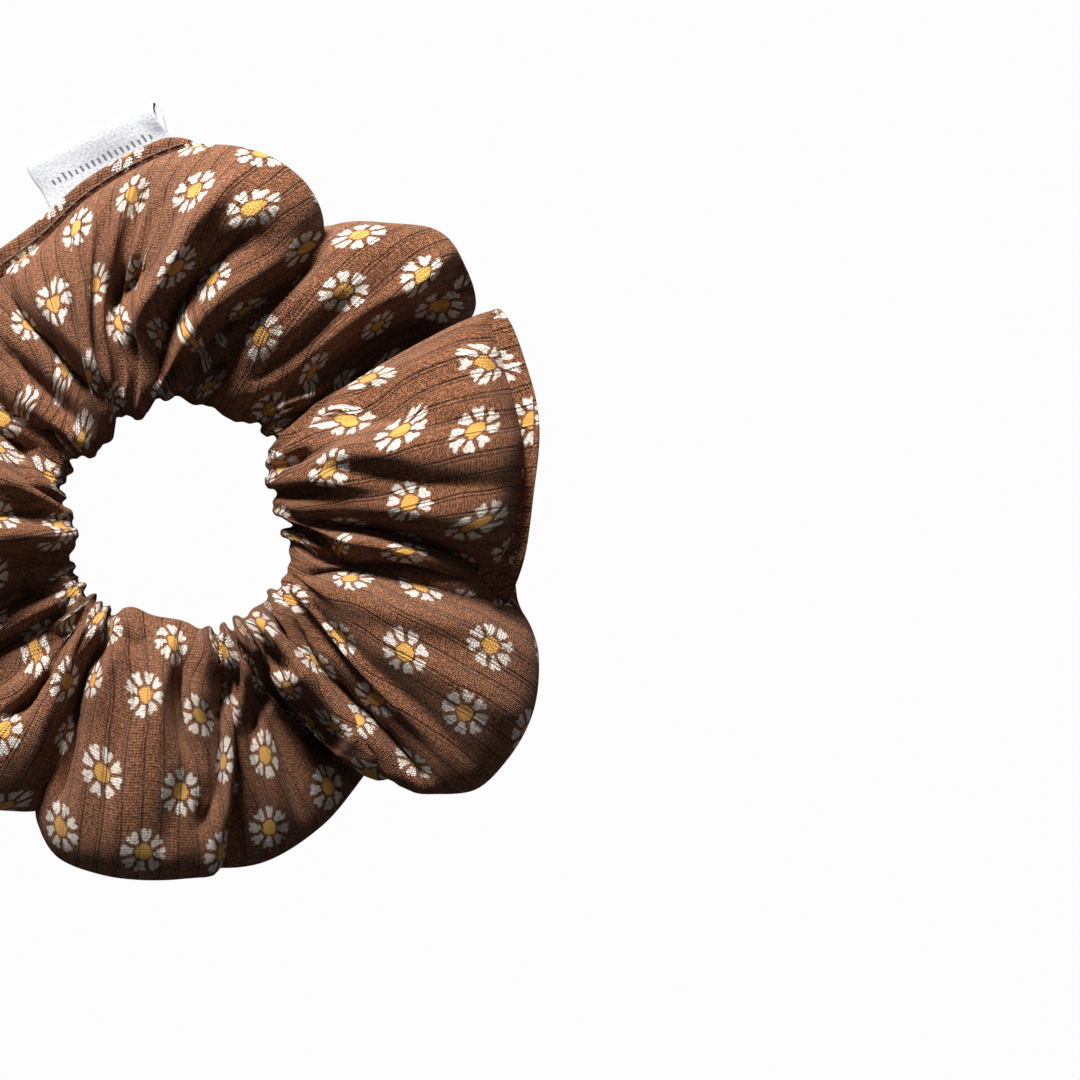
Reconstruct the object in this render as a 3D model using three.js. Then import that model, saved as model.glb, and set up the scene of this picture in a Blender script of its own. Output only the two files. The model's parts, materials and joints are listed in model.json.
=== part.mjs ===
// A gathered hair scrunchie: a tube of ribbed knit fabric over a ring of flat elastic, closed along
// its outer rim by a seam, with a folded ribbon tag caught in the last hand-turned stretch of that seam.
// Millimetres, +Z up. The ring lies flat, and the origin is the middle of its footprint, tag included.
import * as THREE from "three";

// Fabric cover
const HOLE_RADIUS = 16; // from the ring's centre to the gathers around the hole
const RIM_RADIUS = 54; // the typical radius of the outer seam, before the lobes
const COVER_HEIGHT = 36;
const SEAM_HEIGHT = 15; // of the rim seam above the table
const FABRIC = 1; // wall thickness: the knit with its doubled gathers pressed together
const LIP_GAP = 1; // between the two edges that the rim seam holds together
const ALLOWANCE = 6; // how far the seam's edges reach into the tube
const SEAM_RIDGE = 0.4; // how far they show outside it
const FIN = 3.4; // how far they stand out where the turning gap was closed from outside
const SECTIONS = 96; // around the ring
const WALL_STEPS = 16; // around the tube
const PLEATS = 16;
const PLEAT_DEPTH = 0.8;
const BELOW_TABLE = 2; // how much of the tube's round section the table flattens

// The closed turning gap and its tag, as angles from +X about the ring's centre
const GAP_START = 84;
const GAP_END = 146;
const TAG_ANGLE = 101.6;

// Elastic
const ELASTIC_RADIUS = 19.6; // of the band's inner face
const ELASTIC_WIDTH = 6;
const ELASTIC_THICKNESS = 1;
const OVERLAP = 34; // degrees of the ring over which the two ends lie on each other
const JOIN_ANGLE = 205; // middle of that overlap
const CLEARANCE = 0.3; // between pieces that touch on the real object

// Ribbon tag
const TAG_WIDTH = 21;
const TAG_REACH = 7; // from the fold line to the loop's end
const TAG_BULGE = 1.4; // thickness of the loop near its end
const RIBBON = 0.2;
const SEWN_DEPTH = 3;
const TAG_STANDOFF = 0.6; // from the fin's curved edge to the straight line where the ribbon bends

const THREAD = 0.3;
const THREAD_SIDES = 6;
const END_SEAM_ANGLE = 200;

const KNIT_BROWN = new THREE.MeshStandardMaterial({ color: 0x6b4433, roughness: 0.95, metalness: 0 });
const ELASTIC_WHITE = new THREE.MeshStandardMaterial({ color: 0xe8e6e0, roughness: 0.8, metalness: 0 });
const THREAD_BROWN = new THREE.MeshStandardMaterial({ color: 0x3a241b, roughness: 0.7, metalness: 0 });
const THREAD_WHITE = new THREE.MeshStandardMaterial({ color: 0xdedbd2, roughness: 0.7, metalness: 0 });
const SATIN_WHITE = new THREE.MeshStandardMaterial({ color: 0xe9e8ea, roughness: 0.4, metalness: 0 });

// The rim's outline without the fin: [angle, radius, height of the crest], over lobes and notches.
const RIM = [
  [0, 53, 37], [16, 55.8, 38], [32, 57.2, 37], [46, 57.2, 32], [54, 54.4, 31], [63.5, 46.5, 30],
  [70, 52.4, 34], [86, 53.6, 36], [103, 49.2, 36], [123, 44.9, 35], [135, 46.8, 34], [150, 53.5, 35],
  [164, 48.5, 31], [180, 55.5, 36], [194, 55, 35], [205, 48, 30], [219, 54.5, 35], [233, 53.5, 34],
  [247.6, 46, 31], [256, 54.4, 36], [270, 54.8, 36], [290, 53, 34], [308.7, 46.5, 30], [320, 61.6, 34],
  [334, 60.4, 35], [346, 53, 33],
];

const radians = THREE.MathUtils.degToRad;

// Between the rim's listed points a value runs on a cosine, level at each point.
function alongRim(degrees, column) {
  const angle = THREE.MathUtils.euclideanModulo(degrees, 360);
  const next = RIM.findIndex((point) => point[0] > angle);
  const after = next < 0 ? [360, RIM[0][1], RIM[0][2]] : RIM[next];
  const before = RIM[(next < 0 ? RIM.length : next) - 1];
  const share = (angle - before[0]) / (after[0] - before[0]);
  return THREE.MathUtils.lerp(before[column], after[column], (1 - Math.cos(Math.PI * share)) / 2);
}

const rimRadius = (degrees) => alongRim(degrees, 1);
const crestHeight = (degrees) => alongRim(degrees, 2);
const holeRadius = (degrees) => HOLE_RADIUS + PLEAT_DEPTH * Math.cos(radians(PLEATS * degrees));

// How far the fin stands out of the rim: full along the closed gap, and run out over its last degrees.
function finReach(degrees) {
  const angle = THREE.MathUtils.euclideanModulo(degrees, 360);
  const rise = THREE.MathUtils.smoothstep(angle, GAP_START - 6, GAP_START);
  const fall = 1 - THREE.MathUtils.smoothstep(angle, GAP_END, GAP_END + 6);
  return SEAM_RIDGE + (FIN - SEAM_RIDGE) * Math.min(rise, fall);
}

const onRing = (degrees, radius, height) =>
  new THREE.Vector3(radius * Math.cos(radians(degrees)), radius * Math.sin(radians(degrees)), height);

function named(name, geometry, material) {
  const mesh = new THREE.Mesh(geometry, material);
  mesh.name = name;
  return mesh;
}

// One wall of the tube's section, inset from the outer face, from the upper lip round to the lower one.
function tubeWall(inset) {
  const middle = (HOLE_RADIUS + RIM_RADIUS) / 2;
  const half = (RIM_RADIUS - HOLE_RADIUS) / 2 - inset;
  const above = COVER_HEIGHT - SEAM_HEIGHT - inset;
  const below = SEAM_HEIGHT + BELOW_TABLE - inset;
  const lip = LIP_GAP / 2 + FABRIC;
  const start = Math.asin(lip / above);
  const end = 2 * Math.PI - Math.asin(lip / below);
  const points = [];
  for (let i = 0; i <= WALL_STEPS; i++) {
    const turn = start + ((end - start) * i) / WALL_STEPS;
    const rise = Math.sin(turn) * (turn < Math.PI ? above : below);
    const height = Math.max(SEAM_HEIGHT + rise, inset);
    points.push(new THREE.Vector2(middle + half * Math.cos(turn), height));
  }
  return points;
}

// The tube's section: a ring open at the rim, whose two edges are the lips of the seam.
function coverSection() {
  const inner = RIM_RADIUS - ALLOWANCE;
  const outer = RIM_RADIUS + FIN;
  const near = LIP_GAP / 2;
  const far = near + FABRIC;
  const at = (radius, offset) => new THREE.Vector2(radius, SEAM_HEIGHT + offset);
  return [
    at(outer, far),
    ...tubeWall(0),
    at(outer, -far),
    at(outer, -near),
    at(inner, -near),
    at(inner, -far),
    ...tubeWall(FABRIC).reverse(),
    at(inner, far),
    at(inner, near),
    at(outer, near),
    at(outer, far),
  ];
}

// The section turned about the ring's axis, then drawn out to the lobes and the pleats.
function fabricCover() {
  const geometry = new THREE.LatheGeometry(coverSection(), SECTIONS);
  geometry.rotateX(Math.PI / 2);
  const positions = geometry.getAttribute("position");
  const point = new THREE.Vector3();
  const seamTop = SEAM_HEIGHT + LIP_GAP / 2 + FABRIC;
  for (let i = 0; i < positions.count; i++) {
    point.fromBufferAttribute(positions, i);
    const degrees = THREE.MathUtils.radToDeg(Math.atan2(point.y, point.x));
    const radius = Math.hypot(point.x, point.y);
    const share = Math.min((radius - HOLE_RADIUS) / (RIM_RADIUS - HOLE_RADIUS), 1);
    const proud = Math.max(radius - RIM_RADIUS, 0) / FIN;
    const rim = rimRadius(degrees);
    const drawn = THREE.MathUtils.lerp(holeRadius(degrees), rim, share) + proud * finReach(degrees);
    const lift = (crestHeight(degrees) - seamTop) / (COVER_HEIGHT - seamTop);
    const height = point.z > seamTop ? seamTop + (point.z - seamTop) * lift : point.z;
    positions.setXYZ(i, (point.x * drawn) / radius, (point.y * drawn) / radius, height);
  }
  return named("fabric_cover", geometry, KNIT_BROWN);
}

// A round thread laid along points.
function thread(name, points, material) {
  const section = new THREE.Shape();
  section.absarc(0, 0, THREAD / 2, 0, 2 * Math.PI);
  const path = new THREE.CatmullRomCurve3(points);
  const options = {
    steps: points.length,
    curveSegments: THREAD_SIDES / 2, // a full circle takes twice as many
    bevelEnabled: false,
    extrudePath: path,
  };
  return named(name, new THREE.ExtrudeGeometry(section, options), material);
}

// A thread that follows the rim seam between two angles, inset from the rim, at one height.
function rimThread(name, from, to, inset, height) {
  const stitch = 3; // degrees
  const count = Math.round((to - from) / stitch);
  const points = [];
  for (let i = 0; i <= count; i++) {
    const degrees = from + ((to - from) * i) / count;
    points.push(onRing(degrees, rimRadius(degrees) + inset, height));
  }
  return thread(name, points, THREAD_BROWN);
}

// The needle thread lies on the upper edge of the seam and the bobbin thread under the lower one.
function rimSeams() {
  const offFabric = LIP_GAP / 2 + FABRIC + CLEARANCE + THREAD / 2;
  const above = SEAM_HEIGHT + offFabric;
  const below = SEAM_HEIGHT - offFabric;
  const stitchLine = FIN - 2.6;
  const inside = -3;
  const runOut = 9; // degrees between the turning gap and the long seam's ends
  const longEnd = 360 + GAP_START - runOut;
  return [
    rimThread("long_seam_needle_thread", GAP_END + runOut, longEnd, inside, above),
    rimThread("long_seam_bobbin_thread", GAP_END + runOut, longEnd, inside, below),
    rimThread("closing_needle_thread", GAP_START, GAP_END, stitchLine, above),
    rimThread("closing_bobbin_thread", GAP_START, GAP_END, stitchLine, below),
  ];
}

// The seam that joins the tube's two ends runs round inside the wall, one thread on each side of it.
function endSeam() {
  const sides = { end_seam_needle_thread: 1, end_seam_bobbin_thread: -1 };
  const wall = tubeWall(FABRIC + CLEARANCE + THREAD / 2).slice(1, -1);
  return Object.entries(sides).map(([name, side]) => {
    const degrees = END_SEAM_ANGLE + side;
    const points = wall.map((point) => {
      const share = (point.x - HOLE_RADIUS) / (RIM_RADIUS - HOLE_RADIUS);
      const radius = THREE.MathUtils.lerp(holeRadius(degrees), rimRadius(degrees), share);
      const lift = (crestHeight(degrees) - SEAM_HEIGHT) / (COVER_HEIGHT - SEAM_HEIGHT);
      const rise = Math.max(point.y - SEAM_HEIGHT, 0);
      return onRing(degrees, radius, point.y + rise * (lift - 1));
    });
    return thread(name, points, THREAD_BROWN);
  });
}

// Flat elastic bent into a ring, its second end lapped over its first.
function elasticBand() {
  const from = JOIN_ANGLE - OVERLAP / 2;
  const sweep = 360 + OVERLAP;
  const steps = 96;
  const lapRise = ELASTIC_THICKNESS + CLEARANCE;
  const edge = (offset) =>
    Array.from({ length: steps + 1 }, (_, i) => {
      const turned = (sweep * i) / steps;
      const rise = lapRise * THREE.MathUtils.smoothstep(turned, 360 - OVERLAP, 360);
      const point = onRing(from + turned, ELASTIC_RADIUS + rise + offset, 0);
      return new THREE.Vector2(point.x, point.y);
    });
  const outline = new THREE.Shape([...edge(0).reverse(), ...edge(ELASTIC_THICKNESS)]);
  const options = { depth: ELASTIC_WIDTH, bevelEnabled: false, curveSegments: 1 };
  const geometry = new THREE.ExtrudeGeometry(outline, options);
  geometry.translate(0, 0, SEAM_HEIGHT - ELASTIC_WIDTH / 2);
  return named("elastic_band", geometry, ELASTIC_WHITE);
}

// Zigzag stitches through the lap, one thread on each face.
function elasticJoin() {
  const legs = 10;
  const pointsPerLeg = 6;
  const reach = ELASTIC_WIDTH / 2 - 1;
  const spread = OVERLAP - 10; // degrees of the lap that the stitches cover
  const offFace = CLEARANCE + THREAD / 2;
  const lapOutside = ELASTIC_RADIUS + 2 * ELASTIC_THICKNESS + CLEARANCE + offFace;
  const faces = { elastic_needle_thread: lapOutside, elastic_bobbin_thread: ELASTIC_RADIUS - offFace };
  return Object.entries(faces).map(([name, radius]) => {
    const points = [];
    for (let i = 0; i <= legs * pointsPerLeg; i++) {
      const degrees = JOIN_ANGLE + spread * (i / (legs * pointsPerLeg) - 0.5);
      const rise = -reach * Math.cos((Math.PI * i) / pointsPerLeg);
      points.push(onRing(degrees, radius, SEAM_HEIGHT + rise));
    }
    return thread(name, points, THREAD_WHITE);
  });
}

// The outline of a ribbon loop seen along its width: touching plies at the root, a round end.
function loopOutline(inset) {
  const half = TAG_BULGE / 2 - inset;
  const root = inset ? 4 * RIBBON : 0;
  const rootHalf = inset ? 0.05 : RIBBON;
  const end = TAG_REACH - TAG_BULGE / 2;
  const path = inset ? new THREE.Path() : new THREE.Shape();
  path.moveTo(root, -rootHalf);
  path.bezierCurveTo(root + 2, -rootHalf, end - 2, -half, end, -half);
  path.absarc(end, 0, half, -Math.PI / 2, Math.PI / 2);
  path.bezierCurveTo(end - 2, half, root + 2, rootHalf, root, rootHalf);
  path.closePath();
  return path;
}

// The tag lies along the fin's edge. Its group has X pointing out of the rim and Y along the ribbon's width.
function tag() {
  const group = new THREE.Group();
  const step = 8; // degrees to each side over which the edge's direction is taken
  const edge = (degrees) => onRing(degrees, rimRadius(degrees) + finReach(degrees), SEAM_HEIGHT);
  const along = edge(TAG_ANGLE - step).sub(edge(TAG_ANGLE + step));
  const root = edge(TAG_ANGLE);
  group.rotation.z = Math.atan2(along.y, along.x) + Math.PI / 2;
  const outward = new THREE.Vector3(-along.y, along.x, 0).normalize();
  group.position.copy(root).addScaledVector(outward, TAG_STANDOFF);

  const outline = loopOutline(0);
  outline.holes.push(loopOutline(RIBBON));
  const options = { depth: TAG_WIDTH, bevelEnabled: false, curveSegments: 8 };
  const loop = new THREE.ExtrudeGeometry(outline, options);
  loop.rotateX(Math.PI / 2);
  loop.translate(0, TAG_WIDTH / 2, 0);
  group.add(named("tag_loop", loop, SATIN_WHITE));

  const sewn = new THREE.BoxGeometry(SEWN_DEPTH, TAG_WIDTH, 2 * RIBBON);
  sewn.translate(-CLEARANCE - SEWN_DEPTH / 2, 0, 0);
  group.add(named("tag_sewn_end", sewn, SATIN_WHITE));
  return group;
}

const scrunchie = new THREE.Group();
scrunchie.add(fabricCover(), elasticBand(), ...elasticJoin(), ...rimSeams(), ...endSeam(), tag());

// The lobes and the tag are uneven, so the ring is moved to bring its footprint's middle to the origin.
const footprint = new THREE.Box3().setFromObject(scrunchie).getCenter(new THREE.Vector3());
scrunchie.children.forEach((piece) => piece.position.sub(new THREE.Vector3(footprint.x, footprint.y, 0)));

export default scrunchie;
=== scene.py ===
"""A gathered hair scrunchie of ribbed knit with a daisy print, with its elastic, stitching and ribbon tag."""

import json
import logging
import math
from dataclasses import dataclass, field
from enum import Enum

import bpy
import numpy as np
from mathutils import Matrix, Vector


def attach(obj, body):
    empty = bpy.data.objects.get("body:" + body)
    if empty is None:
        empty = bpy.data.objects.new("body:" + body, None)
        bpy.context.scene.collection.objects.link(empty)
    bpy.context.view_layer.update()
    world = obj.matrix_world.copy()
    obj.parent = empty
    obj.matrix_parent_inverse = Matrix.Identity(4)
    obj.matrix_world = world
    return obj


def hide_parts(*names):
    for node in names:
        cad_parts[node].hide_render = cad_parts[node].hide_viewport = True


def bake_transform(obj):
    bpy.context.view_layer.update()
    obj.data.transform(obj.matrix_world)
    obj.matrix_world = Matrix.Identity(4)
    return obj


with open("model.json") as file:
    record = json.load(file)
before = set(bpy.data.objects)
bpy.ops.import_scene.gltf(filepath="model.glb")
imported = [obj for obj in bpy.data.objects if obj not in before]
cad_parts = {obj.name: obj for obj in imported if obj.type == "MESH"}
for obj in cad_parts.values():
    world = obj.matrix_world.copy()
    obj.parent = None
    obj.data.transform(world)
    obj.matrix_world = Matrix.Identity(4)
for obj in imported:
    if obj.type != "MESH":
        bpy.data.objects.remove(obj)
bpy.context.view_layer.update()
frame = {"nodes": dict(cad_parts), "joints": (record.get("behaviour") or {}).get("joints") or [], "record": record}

LOG = logging.getLogger("scrunchie")
MM = 0.001
UV_SPAN = 100.0  # mm of cloth in one unit of a UV map
TINY = 1e-9  # mm added to a length before it divides, so that it is never nothing
NORMAL_TINY = 1e-12  # the same, for the much shorter cross products of a surface
FULL_TURN = 2 * math.pi


def linear(hex_colour: str) -> tuple[float, float, float, float]:
    """Turns an sRGB hex colour to linear.

    Args:
        hex_colour: six hex digits after a hash sign.

    Returns:
        Linear red, green, blue and an alpha of 1.
    """
    channels = [int(hex_colour[i : i + 2], 16) / 255 for i in (1, 3, 5)]
    red, green, blue = [c / 12.92 if c <= 0.04045 else ((c + 0.055) / 1.055) ** 2.4 for c in channels]
    return red, green, blue, 1.0


def add_node(tree: bpy.types.NodeTree, kind: str, settings: dict, inputs: dict) -> bpy.types.Node:
    """Adds one shader node.

    Args:
        tree: the material's node tree.
        kind: the node's class name, without its "ShaderNode".
        settings: attributes set on the node.
        inputs: by socket name or number, a value to set, a socket to link from, or a node, which gives its
            first output.

    Returns:
        The new node.
    """
    node = tree.nodes.new("ShaderNode" + kind)
    for name, value in settings.items():
        setattr(node, name, value)
    for key, value in inputs.items():
        source = value.outputs[0] if isinstance(value, bpy.types.Node) else value
        if isinstance(source, bpy.types.NodeSocket):
            tree.links.new(source, node.inputs[key])
        else:
            node.inputs[key].default_value = source
    return node


def new_material(name: str, finish: dict) -> tuple[bpy.types.Material, bpy.types.Node]:
    """Makes a material with one finish all over.

    Args:
        name: the material's name.
        finish: values for the Principled shader's sockets, by socket name.

    Returns:
        The material and its Principled shader.
    """
    material = bpy.data.materials.new(name)
    material.use_nodes = True
    shader = material.node_tree.nodes["Principled BSDF"]
    for socket, value in finish.items():
        shader.inputs[socket].default_value = value
    return material, shader


def smoothstep(low: float, high: float, value: np.ndarray) -> np.ndarray:
    """A smooth rise from 0 at low to 1 at high."""
    share = np.clip((value - low) / (high - low), 0, 1)
    return share * share * (3 - 2 * share)


@dataclass(frozen=True)
class RibbedKnit:
    """Brushed jersey of polyester and elastane, knitted in ribs and printed with daisies.

    It is matte, with a soft nap that catches light at grazing angles, and fine stitches that break up the
    print's edges. Shade is painted into its colour between the stitches and in the grooves between the ribs.
    """

    ground: str = "#a66d48"
    yarn_dark_and_shade: str = "#482412"  # the darker yarn of the mottle, and painted shade between and under the stitches
    # painted shade in the grooves between the ribs
    groove_shade: str = "#30170b"
    petal: str = "#e8dcd0"
    middle: str = "#dba250"
    nap: str = "#d9b7a2"
    rib_pitch: float = 3.1  # mm
    groove_width: float = 0.3  # mm
    grooves: tuple[tuple[float, float], ...] = ((0.0, 1.0), (0.62, 0.55))  # mm along, and share of full depth
    wale: float = 0.52  # mm across one knit stitch, drawn a little coarse so that it shows
    course: float = 0.42  # mm along one knit stitch
    slant: float = 1.1  # rise of a stitch's leg for each millimetre across
    cell: tuple[float, float] = (12.6, 11.2)  # mm between daisies
    jitter: float = 1.7  # mm that a daisy may stand off its place, each way
    petals: int = 8
    petal_reach: float = 3.5  # mm from the daisy's middle to a petal's tip
    petal_root: tuple[float, float] = (1.45, 1.8)  # mm, where a petal starts
    middle_radius: float = 1.25  # mm
    print_wander: float = 0.8  # mm that the print's edges wander
    rib_wander: float = 1.0  # mm that the ribs wander
    relief: float = 0.28  # mm of bump
    roughness: float = 0.88
    sheen: float = 0.12
    nap_roughness: float = 0.45
    specular: float = 0.25

    def build(self) -> bpy.types.Material:
        """Builds the material.

        Returns:
            The knit's material, which reads the piece's UV map as fabric coordinates.
        """
        finish = {"Roughness": self.roughness, "Specular IOR Level": self.specular}
        finish |= {"Sheen Weight": self.sheen, "Sheen Roughness": self.nap_roughness}
        finish |= {"Sheen Tint": linear(self.nap)}
        material, shader = new_material("ribbed_knit", finish)
        tree = material.node_tree
        uv = add_node(tree, "UVMap", {"uv_map": "fabric"}, {})
        flat = add_node(tree, "VectorMath", {"operation": "SCALE"}, {0: uv, "Scale": UV_SPAN})
        rib = self.ribs(tree, flat)
        stitch = self.stitches(tree, flat)
        petal, middle = self.daisies(tree, flat)
        speckle = {"Vector": flat, "Scale": 2.1, "Detail": 2.0, "Roughness": 0.8}
        grain = add_node(tree, "TexNoise", {}, speckle)
        tone = self.tone(tree, flat, grain, stitch)
        low, high = linear(self.yarn_dark_and_shade), linear(self.ground)
        colour = add_node(tree, "Mix", {"data_type": "RGBA"}, {0: tone, 6: low, 7: high}).outputs[2]
        # painted shade: the grooves between the ribs are drawn darker
        high = linear(self.groove_shade)
        colour = add_node(tree, "Mix", {"data_type": "RGBA"}, {0: rib, 6: colour, 7: high}).outputs[2]
        # the print is drawn weaker in the grooves, so that their painted shade shows through it
        print_over_groove_shade = add_node(tree, "Math", {"operation": "MULTIPLY_ADD"}, {0: rib, 1: -0.4, 2: 1.0})
        for mask, ink in ((petal, linear(self.petal)), (middle, linear(self.middle))):
            printed = add_node(tree, "Math", {"operation": "MULTIPLY"}, {0: mask, 1: print_over_groove_shade})
            colour = add_node(tree, "Mix", {"data_type": "RGBA"}, {0: printed, 6: colour, 7: ink}).outputs[2]
        tree.links.new(colour, shader.inputs["Base Color"])
        height = add_node(tree, "Math", {"operation": "MULTIPLY_ADD"}, {0: rib, 1: -2.4, 2: stitch})
        height = add_node(tree, "Math", {"operation": "MULTIPLY_ADD"}, {0: grain, 1: 0.8, 2: height})
        bump = add_node(tree, "Bump", {}, {"Height": height, "Distance": self.relief * MM, "Strength": 1.0})
        tree.links.new(bump.outputs[0], shader.inputs["Normal"])
        return material

    def tone(
        self, tree: bpy.types.NodeTree, flat: bpy.types.Node, grain: bpy.types.Node, stitch: bpy.types.Node
    ) -> bpy.types.Node:
        """How light the cloth is drawn: the dyed yarn mottled over the cloth and speckled by its nap, with painted
        light on the top of each stitch and painted shade between the stitches.

        Args:
            tree: the material's node tree.
            flat: fabric coordinates in millimetres.
            grain: the nap's speckle.
            stitch: the height of the knit's stitches.

        Returns:
            0 where the yarn is darkest, 1 where it is lightest.
        """
        mottle = add_node(tree, "TexNoise", {}, {"Vector": flat, "Scale": 0.3, "Detail": 3.0})
        tone = add_node(tree, "Math", {"operation": "MULTIPLY_ADD"}, {0: mottle, 1: 0.5, 2: -2.2})
        tone = add_node(tree, "Math", {"operation": "MULTIPLY_ADD"}, {0: grain, 1: 4.0, 2: tone})
        clamped = {"operation": "MULTIPLY_ADD", "use_clamp": True}
        # painted light on the top of each stitch, painted shade between the stitches
        return add_node(tree, "Math", clamped, {0: stitch, 1: 1.25, 2: tone})

    def ribs(self, tree: bpy.types.NodeTree, flat: bpy.types.Node) -> bpy.types.Node:
        """The narrow grooves between the ribs, in pairs: sunk in the bump, and drawn darker as painted shade.

        Args:
            tree: the material's node tree.
            flat: fabric coordinates in millimetres.

        Returns:
            1 in the grooves, 0 on the ribs.
        """
        wander = add_node(tree, "TexNoise", {}, {"Vector": flat, "Scale": 0.12, "Detail": 1.0})
        along = add_node(tree, "SeparateXYZ", {}, {0: flat})
        wandered = {0: wander, 1: self.rib_wander, 2: along}
        along = add_node(tree, "Math", {"operation": "MULTIPLY_ADD"}, wandered)
        pair = []
        for offset, depth in self.grooves:
            place = add_node(tree, "Math", {"operation": "ADD"}, {0: along, 1: offset})
            near = add_node(tree, "Math", {"operation": "PINGPONG"}, {0: place, 1: self.rib_pitch / 2})
            ramp = {0: near, 1: self.groove_width, 2: 0.04, 3: 0.0, 4: depth}
            pair.append(add_node(tree, "MapRange", {"interpolation_type": "SMOOTHSTEP"}, ramp))
        both = add_node(tree, "Math", {"operation": "MAXIMUM"}, {0: pair[0], 1: pair[1]})
        rough = add_node(tree, "TexNoise", {}, {"Vector": flat, "Scale": 1.4, "Detail": 2.0})
        fade = add_node(tree, "Math", {"operation": "MULTIPLY_ADD"}, {0: rough, 1: 0.9, 2: 0.2})
        return add_node(tree, "Math", {"operation": "MULTIPLY", "use_clamp": True}, {0: both, 1: fade})

    def stitches(self, tree: bpy.types.NodeTree, flat: bpy.types.Node) -> bpy.types.Node:
        """The knit's small V-shaped stitches.

        Args:
            tree: the material's node tree.
            flat: fabric coordinates in millimetres.

        Returns:
            1 at the top of a loop, 0 between loops.
        """
        parts = add_node(tree, "SeparateXYZ", {}, {0: flat})
        side = add_node(tree, "Math", {"operation": "PINGPONG"}, {0: parts, 1: self.wale / 2})
        leg = {0: side, 1: self.slant, 2: parts.outputs[1]}
        slant = add_node(tree, "Math", {"operation": "MULTIPLY_ADD"}, leg)
        turn = add_node(tree, "Math", {"operation": "MULTIPLY"}, {0: slant, 1: FULL_TURN / self.course})
        wave = add_node(tree, "Math", {"operation": "SINE"}, {0: turn})
        across = add_node(tree, "Math", {"operation": "MULTIPLY"}, {0: side, 1: FULL_TURN / self.wale})
        edge = add_node(tree, "Math", {"operation": "SINE"}, {0: across})
        loop = add_node(tree, "Math", {"operation": "MULTIPLY_ADD"}, {0: wave, 1: 0.5, 2: 0.5})
        return add_node(tree, "Math", {"operation": "MULTIPLY"}, {0: loop, 1: edge})

    def daisies(
        self, tree: bpy.types.NodeTree, flat: bpy.types.Node
    ) -> tuple[bpy.types.Node, bpy.types.Node]:
        """The scattered daisies: one in each cell of a brick pattern, a little off its place and turned.

        Args:
            tree: the material's node tree.
            flat: fabric coordinates in millimetres.

        Returns:
            1 on a petal, and 1 on a flower's middle.
        """
        frayed = add_node(tree, "TexNoise", {}, {"Vector": flat, "Scale": 1.3, "Detail": 2.0}).outputs[1]
        shift = add_node(tree, "VectorMath", {"operation": "SUBTRACT"}, {0: frayed, 1: (0.5, 0.5, 0.5)})
        wander = (self.print_wander, self.print_wander, 0)
        printed = add_node(tree, "VectorMath", {"operation": "MULTIPLY_ADD"}, {0: shift, 1: wander, 2: flat})
        wide, tall = self.cell
        parts = add_node(tree, "SeparateXYZ", {}, {0: printed})
        v = add_node(tree, "Math", {"operation": "DIVIDE"}, {0: parts.outputs[1], 1: tall})
        row = add_node(tree, "Math", {"operation": "FLOOR"}, {0: v})
        drop = add_node(tree, "Math", {"operation": "PINGPONG"}, {0: row, 1: 1.0})
        u = add_node(tree, "Math", {"operation": "DIVIDE"}, {0: parts, 1: wide})
        u = add_node(tree, "Math", {"operation": "MULTIPLY_ADD"}, {0: drop, 1: 0.5, 2: u})
        column = add_node(tree, "Math", {"operation": "FLOOR"}, {0: u})
        cell = add_node(tree, "CombineXYZ", {}, {0: column, 1: row})
        chance = add_node(tree, "TexWhiteNoise", {}, {"Vector": cell}).outputs[1]
        throw = add_node(tree, "SeparateXYZ", {}, {0: chance}).outputs
        arm = []
        for axis, (place, whole, size) in enumerate(((u, column, wide), (v, row, tall))):
            inside = add_node(tree, "Math", {"operation": "SUBTRACT"}, {0: place, 1: whole})
            inside = add_node(tree, "Math", {"operation": "MULTIPLY_ADD"}, {0: inside, 1: size, 2: -size / 2})
            spread = {0: throw[axis], 1: -2 * self.jitter, 2: self.jitter}
            thrown = add_node(tree, "Math", {"operation": "MULTIPLY_ADD"}, spread)
            arm.append(add_node(tree, "Math", {"operation": "ADD"}, {0: inside, 1: thrown}))
        offset = add_node(tree, "CombineXYZ", {}, {0: arm[0], 1: arm[1]})
        out = add_node(tree, "VectorMath", {"operation": "LENGTH"}, {0: offset}).outputs[1]
        bearing = add_node(tree, "Math", {"operation": "ARCTAN2"}, {0: arm[1], 1: arm[0]})
        turned = {0: bearing, 1: self.petals / FULL_TURN, 2: throw[2]}
        turn = add_node(tree, "Math", {"operation": "MULTIPLY_ADD"}, turned)
        soft = {0: out, 1: self.middle_radius + 0.16, 2: self.middle_radius - 0.16}
        middle = add_node(tree, "MapRange", {"interpolation_type": "SMOOTHSTEP"}, soft)
        return self.petal_mask(tree, flat, out, turn), middle

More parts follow.
